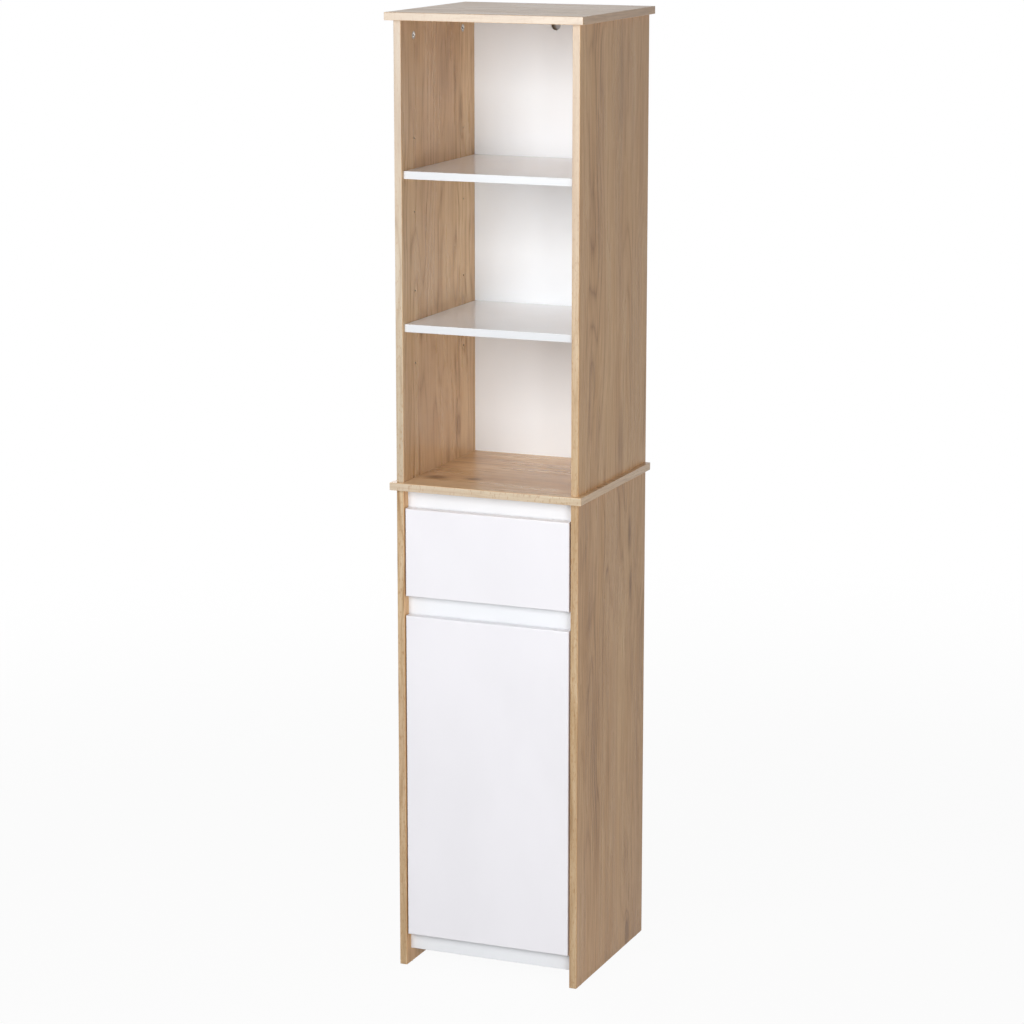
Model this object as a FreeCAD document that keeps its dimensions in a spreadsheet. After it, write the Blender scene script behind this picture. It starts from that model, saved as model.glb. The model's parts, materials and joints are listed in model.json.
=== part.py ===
import FreeCAD, Part
import os
import re

import Sketcher

# Tall bathroom cabinet: an open upper part with two shelves on a base with a drawer and a door.
# X runs to the right, Y to the back and Z up. Heights count from the floor, and depths from the
# front edge of the side panels; place() moves depths so that the origin is under the middle.

DRIVING_SIZES = {
    # Carcass boards and overall outline
    "board": 15.0,
    "body_width": 380.0,
    "body_depth": 372.0,
    "edge_easing": 0.6,
    "top_overhang_side": 12.0,
    "top_overhang_front": 17.0,
    "middle_overhang_side": 10.0,
    "middle_overhang_front": 12.0,
    # Heights, from the floor up
    "glide_height": 2.0,
    "plinth_clearance": 31.0,
    "door_bottom": 67.0,
    "door_height": 658.0,
    "door_finger_gap": 39.0,
    "drawer_front_height": 176.0,
    "drawer_finger_gap": 37.0,
    "lower_opening": 295.0,
    "middle_opening": 281.0,
    "upper_opening": 287.0,
    # Back panels, in grooves of the sides
    "back_thickness": 3.0,
    "back_inset": 13.0,
    "groove_depth": 6.0,
    "groove_clearance": 0.4,
    "panel_clearance": 0.3,
    "notch_width": 20.0,
    "notch_depth": 36.0,
    # Shelves and their pins
    "shelf_setback": 9.0,
    "shelf_clearance": 0.5,
    "base_shelf_setback": 45.0,
    "base_shelf_height": 380.0,
    "pin_diameter": 5.0,
    "pin_length": 16.0,
    "pin_hole_depth": 8.5,
    "pin_play": 0.2,
    "pin_pitch": 71.0,
    "fitting_front": 60.0,
    "fitting_back": 298.0,
    # Cam locks, bolts, dowels and screws
    "cam_diameter": 15.0,
    "cam_length": 12.0,
    "cam_distance": 32.0,
    "cam_play": 0.2,
    "cam_drive_diameter": 5.0,
    "cam_drive_depth": 2.0,
    "bolt_diameter": 6.0,
    "bolt_bore": 8.0,
    "bolt_thread": 5.0,
    "bolt_engagement": 11.0,
    "dowel_diameter": 8.0,
    "dowel_length": 30.0,
    "dowel_seat": 10.0,
    "fitting_pitch": 32.0,
    "rail_dowel_spread": 12.0,
    "joining_screw_diameter": 5.0,
    "joining_screw_length": 50.0,
    "screw_head_diameter": 8.0,
    "screw_head_height": 2.5,
    # Fronts
    "front_thickness": 18.0,
    "front_gap_left": 2.5,
    "front_gap_right": 3.5,
    "front_rounding": 2.5,
    "front_overlap": 8.0,
    "bumper_diameter": 7.0,
    "bumper_thickness": 2.3,
    "bumper_gap": 0.2,
    "bumper_inset": 18.0,
    # Drawer box
    "runner_space": 12.5,
    "drawer_board": 12.0,
    "drawer_depth": 300.0,
    "drawer_side_height": 130.0,
    "drawer_lift": 4.0,
    "drawer_bottom_thickness": 3.0,
    "drawer_bottom_inset": 8.0,
    "drawer_cam_length": 9.5,
    "drawer_cam_distance": 24.0,
    "drawer_screw_length": 35.0,
    "drawer_screw_diameter": 4.0,
    # Roller runners
    "runner_sheet": 1.2,
    "runner_start": 4.0,
    "track_width": 9.5,
    "roller_radius": 8.5,
    "roller_width": 7.0,
    "roller_side_gap": 0.5,
    "roller_bore_play": 0.1,
    "axle_radius": 2.0,
    "axle_inset": 12.0,
    "running_gap": 0.3,
    "lip_gap": 0.8,
    "lip_width": 8.0,
    "guard_width": 6.0,
    "flange_width": 11.0,
    "axle_head_diameter": 7.0,
    "axle_head_height": 0.8,
    "runner_screw_diameter": 3.5,
    "runner_screw_length": 9.0,
    # Floor glides and wall bracket
    "glide_diameter": 13.0,
    "glide_inset": 30.0,
    "nail_diameter": 2.5,
    "nail_length": 14.0,
    "bracket_width": 44.0,
    "bracket_height": 44.0,
    "bracket_sheet": 2.0,
    "bracket_hole": 5.5,
    "bracket_hole_drop": 22.0,
    "bracket_screw_spread": 14.0,
    # Concealed hinges
    "hinge_from_edge": 100.0,
    "cup_diameter": 35.0,
    "cup_centre": 22.5,
    "cup_depth": 11.5,
    "cup_wall": 1.0,
    "cup_play": 0.1,
    "cup_flange": 1.2,
    "cup_flange_width": 16.0,
    "cup_flange_length": 60.0,
    "cup_screw_spread": 24.0,
    "hinge_screw_diameter": 3.5,
    "hinge_screw_length": 12.0,
    "plate_height": 8.0,
    "plate_front": 40.0,
    "plate_length": 38.0,
    "plate_width": 20.0,
    "plate_wing": 2.5,
    "plate_wing_span": 50.0,
    "plate_wing_length": 16.0,
    "plate_screw_spread": 18.0,
    "arm_thickness": 7.0,
    "arm_width": 12.0,
    "arm_length": 36.0,
    "arm_crank": 11.0,
    "arm_rounding": 2.5,
    "arm_wall": 2.0,
    "arm_screw_diameter": 7.0,
    "arm_screw_height": 1.2,
    "arm_screw_shank": 4.0,
    "arm_screw_engagement": 4.0,
    "nose_reach": 19.0,
    "nose_width": 6.0,
    "nose_tip": 14.5,
    "link_pin_diameter": 3.0,
    "link_pin_offset": 7.0,
    "link_pin_depth": 6.5,
    "link_thickness": 2.0,
    "link_width": 9.0,
    "link_boss_diameter": 6.0,
}

DOC = FreeCAD.newDocument("TallCabinet")
SHEET = DOC.addObject("Spreadsheet::Sheet", "Sizes")
for row, (alias, number) in enumerate(DRIVING_SIZES.items(), start=1):
    SHEET.set(f"A{row}", alias)
    SHEET.set(f"B{row}", str(number))
    SHEET.setAlias(f"B{row}", alias)
DOC.recompute()

# Places that follow from the driving sizes, as formulas
INNER = "(body_width / 2 - board)"
INNER_WIDTH = "(body_width - 2 * board)"
DOOR_TOP = "(door_bottom + door_height)"
DRAWER_BOTTOM = f"({DOOR_TOP} + door_finger_gap)"
DRAWER_TOP = f"({DRAWER_BOTTOM} + drawer_front_height)"
MIDDLE_UNDER = f"({DRAWER_TOP} + drawer_finger_gap)"
MIDDLE_TOP = f"({MIDDLE_UNDER} + board)"
LOW_SHELF = f"({MIDDLE_TOP} + lower_opening)"
HIGH_SHELF = f"({LOW_SHELF} + board + middle_opening)"
TOP_UNDER = f"({HIGH_SHELF} + board + upper_opening)"
BACK_FRONT = "(body_depth - back_inset - back_thickness)"
RAIL_FRONT = "(front_thickness + bumper_thickness + bumper_gap)"
RAIL_BACK = f"({RAIL_FRONT} + board)"
PANEL_DEPTH = f"({BACK_FRONT} - {RAIL_BACK})"
BOTTOM_TOP = "(door_bottom + front_overlap)"
DIVIDER_LOW = f"({DOOR_TOP} - front_overlap)"
DIVIDER_HIGH = f"({DRAWER_BOTTOM} + front_overlap)"
DRAWER_RAIL_LOW = f"({DRAWER_TOP} - front_overlap)"
FRONT_WIDTH = f"({INNER_WIDTH} - front_gap_left - front_gap_right)"
FRONT_LEFT = f"(front_gap_left - {INNER})"
BOX_SIDE = f"({INNER} - runner_space)"
BOX_LOW = f"({DIVIDER_HIGH} + drawer_lift)"
SIDE_MIDDLE = f"({INNER} + board / 2)"
PIN_RISE = "(pin_diameter / 2)"


def bound(formula):
    """Points every size's name in a formula at its cell."""
    return re.sub(r"[a-z_]+", lambda word: f"Sizes.{word.group(0)}", formula)


def bind(obj, prop, formula):
    """Binds one property of an object to a formula of the driving sizes."""
    obj.setExpression(prop, bound(formula))


def place(obj, x, y, z):
    """Places an object, its depth counted from the front edge of the side panels."""
    bind(obj, "Placement.Base.x", x)
    bind(obj, "Placement.Base.y", f"{y} - (body_depth - top_overhang_front) / 2")
    bind(obj, "Placement.Base.z", z)


# A face's side: the plane its sketch lies on, and whether a cut has to be reversed to go in
FACES = {
    "left": ("YZ_Plane", True),
    "right": ("YZ_Plane", False),
    "bottom": ("XY_Plane", True),
    "top": ("XY_Plane", False),
    "front": ("XZ_Plane", False),
    "back": ("XZ_Plane", True),
}


class Board:
    """A flat piece: a rectangle given its thickness, then eased, drilled, slotted and grooved.

    Positions on it count from its own low left front corner: along Y and Z on the left and right
    faces, X and Y on the bottom and top, and X and Z on the front and back.
    """

    def __init__(self, label, thin, size, at):
        self.label = label
        self.size = size
        self.body = DOC.addObject("PartDesign::Body", label)
        self.body.Label = label
        place(self.body, *at)
        wide, high = {"x": (1, 2), "y": (0, 2), "z": (0, 1)}[thin]
        side = {"x": "left", "y": "front", "z": "bottom"}[thin]
        outline = self.sketch(side)
        self.rectangle(outline, "0", "0", size[wide], size[high])
        pad = self.body.newObject("PartDesign::Pad", f"{label}_blank")
        pad.Profile = outline
        bind(pad, "Length", size["xyz".index(thin)])
        pad.Reversed = thin == "y"
        outline.Visibility = False
        DOC.recompute()

    def sketch(self, side):
        """Starts a sketch on one of the six faces."""
        plane = FACES[side][0]
        sketch = self.body.newObject("Sketcher::SketchObject", f"{self.label}_sketch")
        origin = [part for part in self.body.Origin.OriginFeatures if part.Role == plane]
        sketch.AttachmentSupport = [(origin[0], "")]
        sketch.MapMode = "FlatFace"
        offset = {"right": self.size[0], "top": self.size[2], "back": f"-({self.size[1]})"}
        if side in offset:
            bind(sketch, "AttachmentOffset.Base.z", offset[side])
        return sketch

    def rectangle(self, sketch, x, y, width, height):
        """Draws a rectangle whose place and size are bound to formulas."""
        first = sketch.GeometryCount
        corners = [(1, 1), (2, 1), (2, 2), (1, 2)]
        for start, end in zip(corners, corners[1:] + corners[:1]):
            line = Part.LineSegment(FreeCAD.Vector(*start, 0), FreeCAD.Vector(*end, 0))
            sketch.addGeometry(line, False)
        for step in range(4):
            following = first + (step + 1) % 4
            sketch.addConstraint(Sketcher.Constraint("Coincident", first + step, 2, following, 1))
            direction = "Horizontal" if step % 2 == 0 else "Vertical"
            sketch.addConstraint(Sketcher.Constraint(direction, first + step))
        self.dimension(sketch, "DistanceX", (-1, 1, first, 1), x)
        self.dimension(sketch, "DistanceY", (-1, 1, first, 1), y)
        self.dimension(sketch, "DistanceX", (first, 1, first, 2), width)
        self.dimension(sketch, "DistanceY", (first + 1, 1, first + 1, 2), height)

    def dimension(self, sketch, kind, points, formula):
        """Adds one dimension to a sketch and binds it to a formula."""
        index = sketch.addConstraint(Sketcher.Constraint(kind, *points, 1.0))
        bind(sketch, f"Constraints[{index}]", formula)

    def cut(self, sketch, side, depth, name):
        """Cuts a sketch into one face of the piece, and tests that it removed something."""
        DOC.recompute()
        before = self.body.Shape.Volume
        pocket = self.body.newObject("PartDesign::Pocket", f"{self.label}_{name}")
        pocket.Profile = sketch
        bind(pocket, "Length", depth)
        pocket.Reversed = FACES[side][1]
        sketch.Visibility = False
        DOC.recompute()
        if not self.body.Shape.Volume < before:
            raise ValueError(f"{self.label}: {name} cuts nothing")

    def slot(self, side, x, y, width, height, depth, name):
        """Cuts a rectangular slot or groove."""
        sketch = self.sketch(side)
        self.rectangle(sketch, x, y, width, height)
        self.cut(sketch, side, depth, name)

    def drill(self, side, points, diameter, depth, name):
        """Drills equal round holes at a list of places."""
        sketch = self.sketch(side)
        for index, (x, y) in enumerate(points):
            centre = FreeCAD.Vector(5 + 10 * index, 5, 0)
            sketch.addGeometry(Part.Circle(centre, FreeCAD.Vector(0, 0, 1), 1), False)
            self.dimension(sketch, "Diameter", (index,), diameter)
            self.dimension(sketch, "DistanceX", (-1, 1, index, 3), x)
            self.dimension(sketch, "DistanceY", (-1, 1, index, 3), y)
        self.cut(sketch, side, depth, name)

    def ease(self, kind, sides, size):
        """Chamfers or rounds the edges that lie on any two of the named outer faces."""
        box = self.body.Shape.BoundBox
        base = self.body.Placement.Base
        faces = {
            "left": (0, box.XMin), "right": (0, box.XMax), "front": (1, box.YMin),
            "back": (1, box.YMax), "bottom": (2, box.ZMin), "top": (2, box.ZMax),
        }
        tip = self.body.Tip
        chosen = []
        for number, edge in enumerate(self.body.Shape.Edges, start=1):
            middle = edge.CenterOfMass
            touched = {name for name, (axis, at) in faces.items() if abs(middle[axis] - at) < 0.01}
            if any(set(pair) <= touched for pair in sides):
                chosen.append(f"Edge{number}")
        feature = self.body.newObject(f"PartDesign::{kind}", f"{self.label}_easing")
        feature.Base = (tip, chosen)
        bind(feature, "Size" if kind == "Chamfer" else "Radius", size)
        DOC.recompute()


TURNS = {
    "+z": FreeCAD.Rotation(),
    "-z": FreeCAD.Rotation(FreeCAD.Vector(1, 0, 0), 180),
    "+x": FreeCAD.Rotation(FreeCAD.Vector(0, 1, 0), 90),
    "-x": FreeCAD.Rotation(FreeCAD.Vector(0, 1, 0), -90),
    "+y": FreeCAD.Rotation(FreeCAD.Vector(1, 0, 0), -90),
    "-y": FreeCAD.Rotation(FreeCAD.Vector(1, 0, 0), 90),
}


def cylinder(name, diameter, length, at, axis):
    """A round bar that starts at a point and runs along an axis."""
    bar = DOC.addObject("Part::Cylinder", name)
    bind(bar, "Radius", f"({diameter}) / 2")
    bind(bar, "Height", length)
    bar.Placement = FreeCAD.Placement(FreeCAD.Vector(), TURNS[axis])
    place(bar, *at)
    return bar


def block(name, size, at):
    """A rectangular block from its low left front corner."""
    solid = DOC.addObject("Part::Box", name)
    for prop, formula in zip(("Length", "Width", "Height"), size):
        bind(solid, prop, formula)
    place(solid, *at)
    return solid


def cone(name, wide, narrow, length, at, axis):
    """A tapered round bar that starts at its wide end."""
    taper = DOC.addObject("Part::Cone", name)
    bind(taper, "Radius1", f"({wide}) / 2")
    bind(taper, "Radius2", f"({narrow}) / 2")
    bind(taper, "Height", length)
    taper.Placement = FreeCAD.Placement(FreeCAD.Vector(), TURNS[axis])
    place(taper, *at)
    return taper


def fused(name, pieces):
    """Joins solids into one."""
    whole = DOC.addObject("Part::MultiFuse", name)
    whole.Shapes = pieces
    whole.Refine = True
    return whole


def cut_from(name, base, tool):
    """Takes one solid out of another."""
    rest = DOC.addObject("Part::Cut", name)
    rest.Base = base
    rest.Tool = tool
    return rest


NODES = []


def node(label, pieces):
    """Names a finished sub-part: one solid, or a group of equal fasteners."""
    if len(pieces) == 1:
        pieces[0].Label = label
        NODES.append(pieces[0])
        return
    group = DOC.addObject("Part::Compound", label)
    group.Links = pieces
    group.Label = label
    NODES.append(group)


def shifted(at, axis, distance):
    """A place moved along an axis such as +x by a formula."""
    moved = list(at)
    index = "xyz".index(axis[1])
    moved[index] = f"{at[index]} {axis[0]} ({distance})"
    return moved


def opposite(axis):
    """The axis that points the other way."""
    return ("-" if axis[0] == "+" else "+") + axis[1]


def screw(name, diameter, length, at, axis, head_height="screw_head_height"):
    """A countersunk screw whose flat head starts at a face and whose shank goes in along an axis."""
    head = cone(f"{name}_head", "screw_head_diameter", diameter, head_height, at, axis)
    shank = cylinder(f"{name}_shank", diameter, length, at, axis)
    return fused(name, [head, shank])


def cam_lock(name, length, bolt_level, at, axis, bolt_axis):
    """A cam disc sunk into a face: at is its open face's centre, and the bolt comes in from one side."""
    disc = cylinder(f"{name}_disc", "cam_diameter", length, at, axis)
    middle = shifted(at, axis, bolt_level)
    start = shifted(middle, opposite(bolt_axis), "bolt_diameter / 2 + cam_play")
    mouth = cylinder(f"{name}_mouth", "bolt_diameter + 2 * cam_play", "cam_diameter", start, bolt_axis)
    hollow = cut_from(f"{name}_body", disc, mouth)
    drive = cylinder(f"{name}_drive", "cam_drive_diameter", "cam_drive_depth", at, axis)
    return cut_from(name, hollow, drive)


def cam_bolt(name, distance, at, axis):
    """A bolt screwed into one board at a point of the joint face, its head in the other board's cam."""
    thread = cylinder(f"{name}_thread", "bolt_thread", "bolt_engagement", at, axis)
    shank = cylinder(f"{name}_shank", "bolt_diameter", f"{distance}", at, opposite(axis))
    return fused(name, [thread, shank])


def both_sides(formula):
    """The same distance to the left and to the right."""
    return [("left", f"-{formula}"), ("right", formula)]


FITTINGS = ("fitting_front", "fitting_back")
DOWELS = ("fitting_front + fitting_pitch", "fitting_back - fitting_pitch")
JOINING = ("fitting_front + 2 * fitting_pitch", "fitting_back - 2 * fitting_pitch")
FRONT_EDGES = [("front", "left"), ("front", "right"), ("front", "top"), ("front", "bottom")]
RIM_EDGES = FRONT_EDGES + [("left", "top"), ("left", "bottom"), ("right", "top"), ("right", "bottom")]


# Side panels
def side_panel(label, hand, low, high, pin_rows, top_edge_only):
    """One oak side with its back groove, shelf-pin holes, cam bores and dowel holes."""
    inner = "right" if hand == "left" else "left"
    x = f"-({INNER} + board)" if hand == "left" else INNER
    height = f"({high} - {low})"
    panel = Board(label, "x", ("board", "body_depth", height), (x, "0", low))
    panel.ease("Chamfer", [("front", "left"), ("front", "right")], "edge_easing")
    groove = f"{BACK_FRONT} - groove_clearance / 2"
    width = "back_thickness + groove_clearance"
    panel.slot(inner, groove, "0", width, height, "groove_depth", "back_groove")
    holes = []
    for level in pin_rows:
        for step in ("- pin_pitch", "", "+ pin_pitch"):
            holes += [(y, f"{level} {step} + {PIN_RISE} - {low}") for y in FITTINGS]
    panel.drill(inner, holes, "pin_diameter", "pin_hole_depth", "pin_holes")
    cams = [(y, f"{height} - cam_distance") for y in FITTINGS]
    panel.drill(inner, cams, "cam_diameter + cam_play", "cam_length + cam_play", "cam_bores")
    middle = "board / 2"
    bolts = [(middle, y) for y in FITTINGS]
    panel.drill("top", bolts, "bolt_bore", "cam_distance", "bolt_bores")
    dowels = [(middle, y) for y in DOWELS]
    panel.drill("top", dowels, "dowel_diameter", "dowel_length - dowel_seat", "dowel_holes")
    if not top_edge_only:
        screws = [(middle, y) for y in JOINING]
        depth = "joining_screw_length - board"
        panel.drill("bottom", screws, "joining_screw_diameter", depth, "screw_holes")
    return panel


UPPER_PANELS = {}
BASE_PANELS = {}
for hand in ("left", "right"):
    UPPER_PANELS[hand] = side_panel(
        f"upper_{hand}_side", hand, MIDDLE_TOP, TOP_UNDER, (LOW_SHELF, HIGH_SHELF), False
    )
    BASE_PANELS[hand] = side_panel(
        f"base_{hand}_side", hand, "glide_height", MIDDLE_UNDER, ("base_shelf_height",), True
    )


# Horizontal oak boards
def wide_board(label, side, front, low):
    """An oak board that overhangs the sides and the front, and ends flush at the back."""
    size = (f"body_width + 2 * {side}", f"body_depth + {front}", "board")
    panel = Board(label, "z", size, (f"-(body_width / 2 + {side})", f"-{front}", low))
    panel.ease("Chamfer", RIM_EDGES, "edge_easing")
    middles = (f"{side} + board / 2", f"{side} + body_width - board / 2")
    bolts = [(x, f"{front} + {y}") for x in middles for y in FITTINGS]
    panel.drill("bottom", bolts, "bolt_thread", "bolt_engagement", "bolt_holes")
    dowels = [(x, f"{front} + {y}") for x in middles for y in DOWELS]
    panel.drill("bottom", dowels, "dowel_diameter", "dowel_seat", "dowel_holes")
    return panel, middles


top, _ = wide_board("top_board", "top_overhang_side", "top_overhang_front", TOP_UNDER)
bracket_x = ("- bracket_screw_spread", "+ bracket_screw_spread")
bracket_y = f"(body_depth + {BACK_FRONT} + back_thickness) / 2"
bracket_screws = [
    (f"top_overhang_side + body_width / 2 {x}", f"top_overhang_front + {bracket_y}") for x in bracket_x
]
top.drill("bottom", bracket_screws, "hinge_screw_diameter", "hinge_screw_length", "bracket_holes")

middle, middles = wide_board(
    "middle_board", "middle_overhang_side", "middle_overhang_front", MIDDLE_UNDER
)
screws = [(x, f"middle_overhang_front + {y}") for x in middles for y in JOINING]
middle.drill("bottom", screws, "joining_screw_diameter", "board", "screw_holes")
middle.drill("bottom", screws, "screw_head_diameter", "screw_head_height", "screw_heads")


# Back panels
def back_panel(label, low, high):
    """A thin white panel that stands in the grooves of the two sides."""
    width = f"({INNER_WIDTH} + 2 * groove_depth - 2 * panel_clearance)"
    size = (width, "back_thickness", f"({high}) - ({low})")
    return Board(label, "y", size, (f"-{width} / 2", BACK_FRONT, low))


upper_back = back_panel("upper_back_panel", MIDDLE_TOP, TOP_UNDER)
panel_middle = f"({INNER_WIDTH} + 2 * groove_depth - 2 * panel_clearance) / 2"
panel_top = f"({TOP_UNDER} - {MIDDLE_TOP})"
upper_back.slot(
    "front", f"{panel_middle} - notch_width / 2", f"{panel_top} - notch_depth + notch_width / 2",
    "notch_width", "notch_depth - notch_width / 2", "back_thickness", "notch",
)
upper_back.drill(
    "front", [(panel_middle, f"{panel_top} - notch_depth + notch_width / 2")],
    "notch_width", "back_thickness", "notch_end",
)
base_back = back_panel("base_back_panel", f"{BOTTOM_TOP} - board", MIDDLE_UNDER)


# Rails behind the finger gaps and the plinth, and the panels behind them
def rail(label, low, high):
    """A white rail between the sides, set back behind the fronts, with two dowels in each end."""
    size = (INNER_WIDTH, "board", f"{high} - {low}")
    piece = Board(label, "y", size, (f"-{INNER}", RAIL_FRONT, low))
    piece.ease("Chamfer", [("front", "top"), ("front", "bottom")], "edge_easing")
    holes = [("board / 2", f"({high} - {low}) / 2 {step} rail_dowel_spread") for step in "+-"]
    for end in ("left", "right"):
        depth = "dowel_length - dowel_seat"
        piece.drill(end, holes, "dowel_diameter", depth, f"{end}_dowel_holes")
    return piece


RAILS = {
    "drawer_rail": (DRAWER_RAIL_LOW, MIDDLE_UNDER),
    "divider_rail": (DIVIDER_LOW, DIVIDER_HIGH),
    "plinth_rail": ("plinth_clearance", BOTTOM_TOP),
}
rail_dowel_places = []
for label, (low, high) in RAILS.items():
    rail(label, low, high)
    for step in "+-":
        height = f"({high} + {low}) / 2 {step} rail_dowel_spread"
        rail_dowel_places.append((f"{RAIL_FRONT} + board / 2", height))

PANEL_BOLTS = (f"{RAIL_BACK} + 2 * fitting_pitch", f"{BACK_FRONT} - 2 * fitting_pitch")
PANEL_DOWELS = (f"{RAIL_BACK} + fitting_pitch", f"{BACK_FRONT} - fitting_pitch")


def floor_panel(label, low):
    """A white panel between the sides, from a rail to the back panel, with cams in its underside."""
    panel = Board(label, "z", (INNER_WIDTH, PANEL_DEPTH, "board"), (f"-{INNER}", RAIL_BACK, low))
    reach = ("cam_distance", f"{INNER_WIDTH} - cam_distance")
    cams = [(x, f"{y} - {RAIL_BACK}") for x in reach for y in PANEL_BOLTS]
    panel.drill("bottom", cams, "cam_diameter + cam_play", "cam_length + cam_play", "cam_bores")
    for end in ("left", "right"):
        bolts = [(f"{y} - {RAIL_BACK}", "board / 2") for y in PANEL_BOLTS]
        panel.drill(end, bolts, "bolt_bore", "cam_distance", f"{end}_bolt_bores")
        dowels = [(f"{y} - {RAIL_BACK}", "board / 2") for y in PANEL_DOWELS]
        depth = "dowel_length - dowel_seat"
        panel.drill(end, dowels, "dowel_diameter", depth, f"{end}_dowel_holes")
    return panel


PANEL_LEVELS = {"bottom_panel": f"({BOTTOM_TOP} - board)", "divider_panel": DIVIDER_LOW}
for label, low in PANEL_LEVELS.items():
    floor_panel(label, low)

for hand, panel in BASE_PANELS.items():
    inner = "right" if hand == "left" else "left"
    bolts = [(y, f"{z} + board / 2 - glide_height") for z in PANEL_LEVELS.values() for y in PANEL_BOLTS]
    panel.drill(inner, bolts, "bolt_thread", "bolt_engagement", "panel_bolt_holes")
    dowels = [(y, f"{z} + board / 2 - glide_height") for z in PANEL_LEVELS.values() for y in PANEL_DOWELS]
    dowels += [(y, f"{z} - glide_height") for y, z in rail_dowel_places]
    panel.drill(inner, dowels, "dowel_diameter", "dowel_seat", "panel_dowel_holes")


# Shelves, each on four pins that sit in short grooves of its underside
def shelf(label, low, setback):
    """A loose white shelf with a groove over each of its four pins."""
    width = f"({INNER_WIDTH} - 2 * shelf_clearance)"
    depth = f"({BACK_FRONT} - shelf_clearance - {setback})"
    board = Board(label, "z", (width, depth, "board"), (f"-{width} / 2", setback, low))
    board.ease("Chamfer", [("front", "top"), ("front", "bottom")], "edge_easing")
    reach = "(pin_length - pin_hole_depth + pin_play)"
    for name, start in (("left", "0"), ("right", f"{width} - {reach}")):
        for spot in FITTINGS:
            board.slot(
                "bottom", start, f"{spot} - {setback} - (pin_diameter + pin_play) / 2",
                reach, "pin_diameter + pin_play", "pin_diameter + pin_play", f"{name}_{spot}_groove",
            )
    return board


def shelf_pins(label, levels):
    """The steel pins in the side holes, half in the side and half under the shelf."""
    pins = []
    for level in levels:
        for hand, x in both_sides(f"({INNER} + pin_hole_depth - pin_play)"):
            for spot in FITTINGS:
                axis = "+x" if hand == "left" else "-x"
                at = (x, spot, f"{level} + {PIN_RISE}")
                pins.append(cylinder(f"{label}_pin", "pin_diameter", "pin_length - pin_play", at, axis))
    node(label, pins)


shelf("upper_shelf_low", LOW_SHELF, "shelf_setback")
shelf("upper_shelf_high", HIGH_SHELF, "shelf_setback")
shelf("base_shelf", "base_shelf_height", "base_shelf_setback")
shelf_pins("upper_shelf_pins", (LOW_SHELF, HIGH_SHELF))
shelf_pins("base_shelf_pins", ("base_shelf_height",))


# Cams, bolts and dowels under the top board, and all through the base
fittings = {}
for label, joint in (("top", TOP_UNDER), ("base", MIDDLE_UNDER)):
    cams, bolts, dowels = [], [], []
    for hand, side in (("left", "-"), ("right", "")):
        axis = "-x" if hand == "left" else "+x"
        for spot in FITTINGS:
            face = (f"{side}{INNER}", spot, f"{joint} - cam_distance")
            cams.append(cam_lock(f"{label}_cam", "cam_length", "board / 2", face, axis, "+z"))
            edge = (f"{side}{SIDE_MIDDLE}", spot, joint)
            bolts.append(cam_bolt(f"{label}_bolt", "cam_distance", edge, "+z"))
        for spot in DOWELS:
            foot = (f"{side}{SIDE_MIDDLE}", spot, f"{joint} - dowel_length + dowel_seat")
            dowels.append(cylinder(f"{label}_dowel", "dowel_diameter", "dowel_length", foot, "+z"))
    fittings[label] = (cams, bolts, dowels)

joining = []
for side in ("-", ""):
    for spot in JOINING:
        at = (f"{side}{SIDE_MIDDLE}", spot, MIDDLE_UNDER)
        joining.append(screw("joining", "joining_screw_diameter", "joining_screw_length", at, "+z"))
node("joining_screws", joining)

base_cams, base_bolts, base_dowels = fittings["base"]
for side, out in (("-", "-x"), ("", "+x")):
    sign = "+" if side == "-" else "-"
    for low in PANEL_LEVELS.values():
        for spot in PANEL_BOLTS:
            face = (f"{side}{INNER} {sign} cam_distance", spot, low)
            base_cams.append(cam_lock("panel_cam", "cam_length", "board / 2", face, "+z", out))
            edge = (f"{side}{INNER}", spot, f"{low} + board / 2")
            base_bolts.append(cam_bolt("panel_bolt", "cam_distance", edge, out))
        for spot in PANEL_DOWELS:
            start = (f"{side}{INNER} {sign} (dowel_length - dowel_seat)", spot, f"{low} + board / 2")
            base_dowels.append(cylinder("panel_dowel", "dowel_diameter", "dowel_length", start, out))
    for y, z in rail_dowel_places:
        start = (f"{side}{INNER} {sign} (dowel_length - dowel_seat)", y, z)
        base_dowels.append(cylinder("rail_dowel", "dowel_diameter", "dowel_length", start, out))
for label, groups in fittings.items():
    for kind, pieces in zip(("cam_locks", "cam_bolts", "dowels"), groups):
        node(f"{label}_{kind}", pieces)


# Wall bracket behind the notch, screwed up into the top board, and the nailed floor glides
bracket_front = f"({BACK_FRONT} + back_thickness + panel_clearance)"
upright = block(
    "bracket_upright", ("bracket_width", "bracket_sheet", "bracket_height"),
    ("-bracket_width / 2", "body_depth - bracket_sheet", f"{TOP_UNDER} - bracket_height"),
)
ledge = block(
    "bracket_ledge", ("bracket_width", f"body_depth - {bracket_front}", "bracket_sheet"),
    ("-bracket_width / 2", bracket_front, f"{TOP_UNDER} - bracket_sheet"),
)
bracket = fused("bracket_sheet_metal", [upright, ledge])
wall_hole_at = ("0", "body_depth - 2 * bracket_sheet", f"{TOP_UNDER} - bracket_hole_drop")
wall_hole = cylinder("bracket_wall_hole", "bracket_hole", "3 * bracket_sheet", wall_hole_at, "+y")
bracket = cut_from("bracket_with_wall_hole", bracket, wall_hole)
bracket_fixings = []
for offset in bracket_x:
    at = (f"0 {offset}", bracket_y, f"{TOP_UNDER} - bracket_sheet")
    hole = cylinder("bracket_screw_hole", "screw_head_diameter", "2 * bracket_sheet", at, "+z")
    bracket = cut_from("bracket_drilled", bracket, hole)
    length = "hinge_screw_length + bracket_sheet"
    bracket_fixings.append(
        screw("bracket_screw", "hinge_screw_diameter", length, at, "+z", "bracket_sheet")
    )
node("wall_bracket", [bracket])
node("wall_bracket_screws", bracket_fixings)

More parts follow.
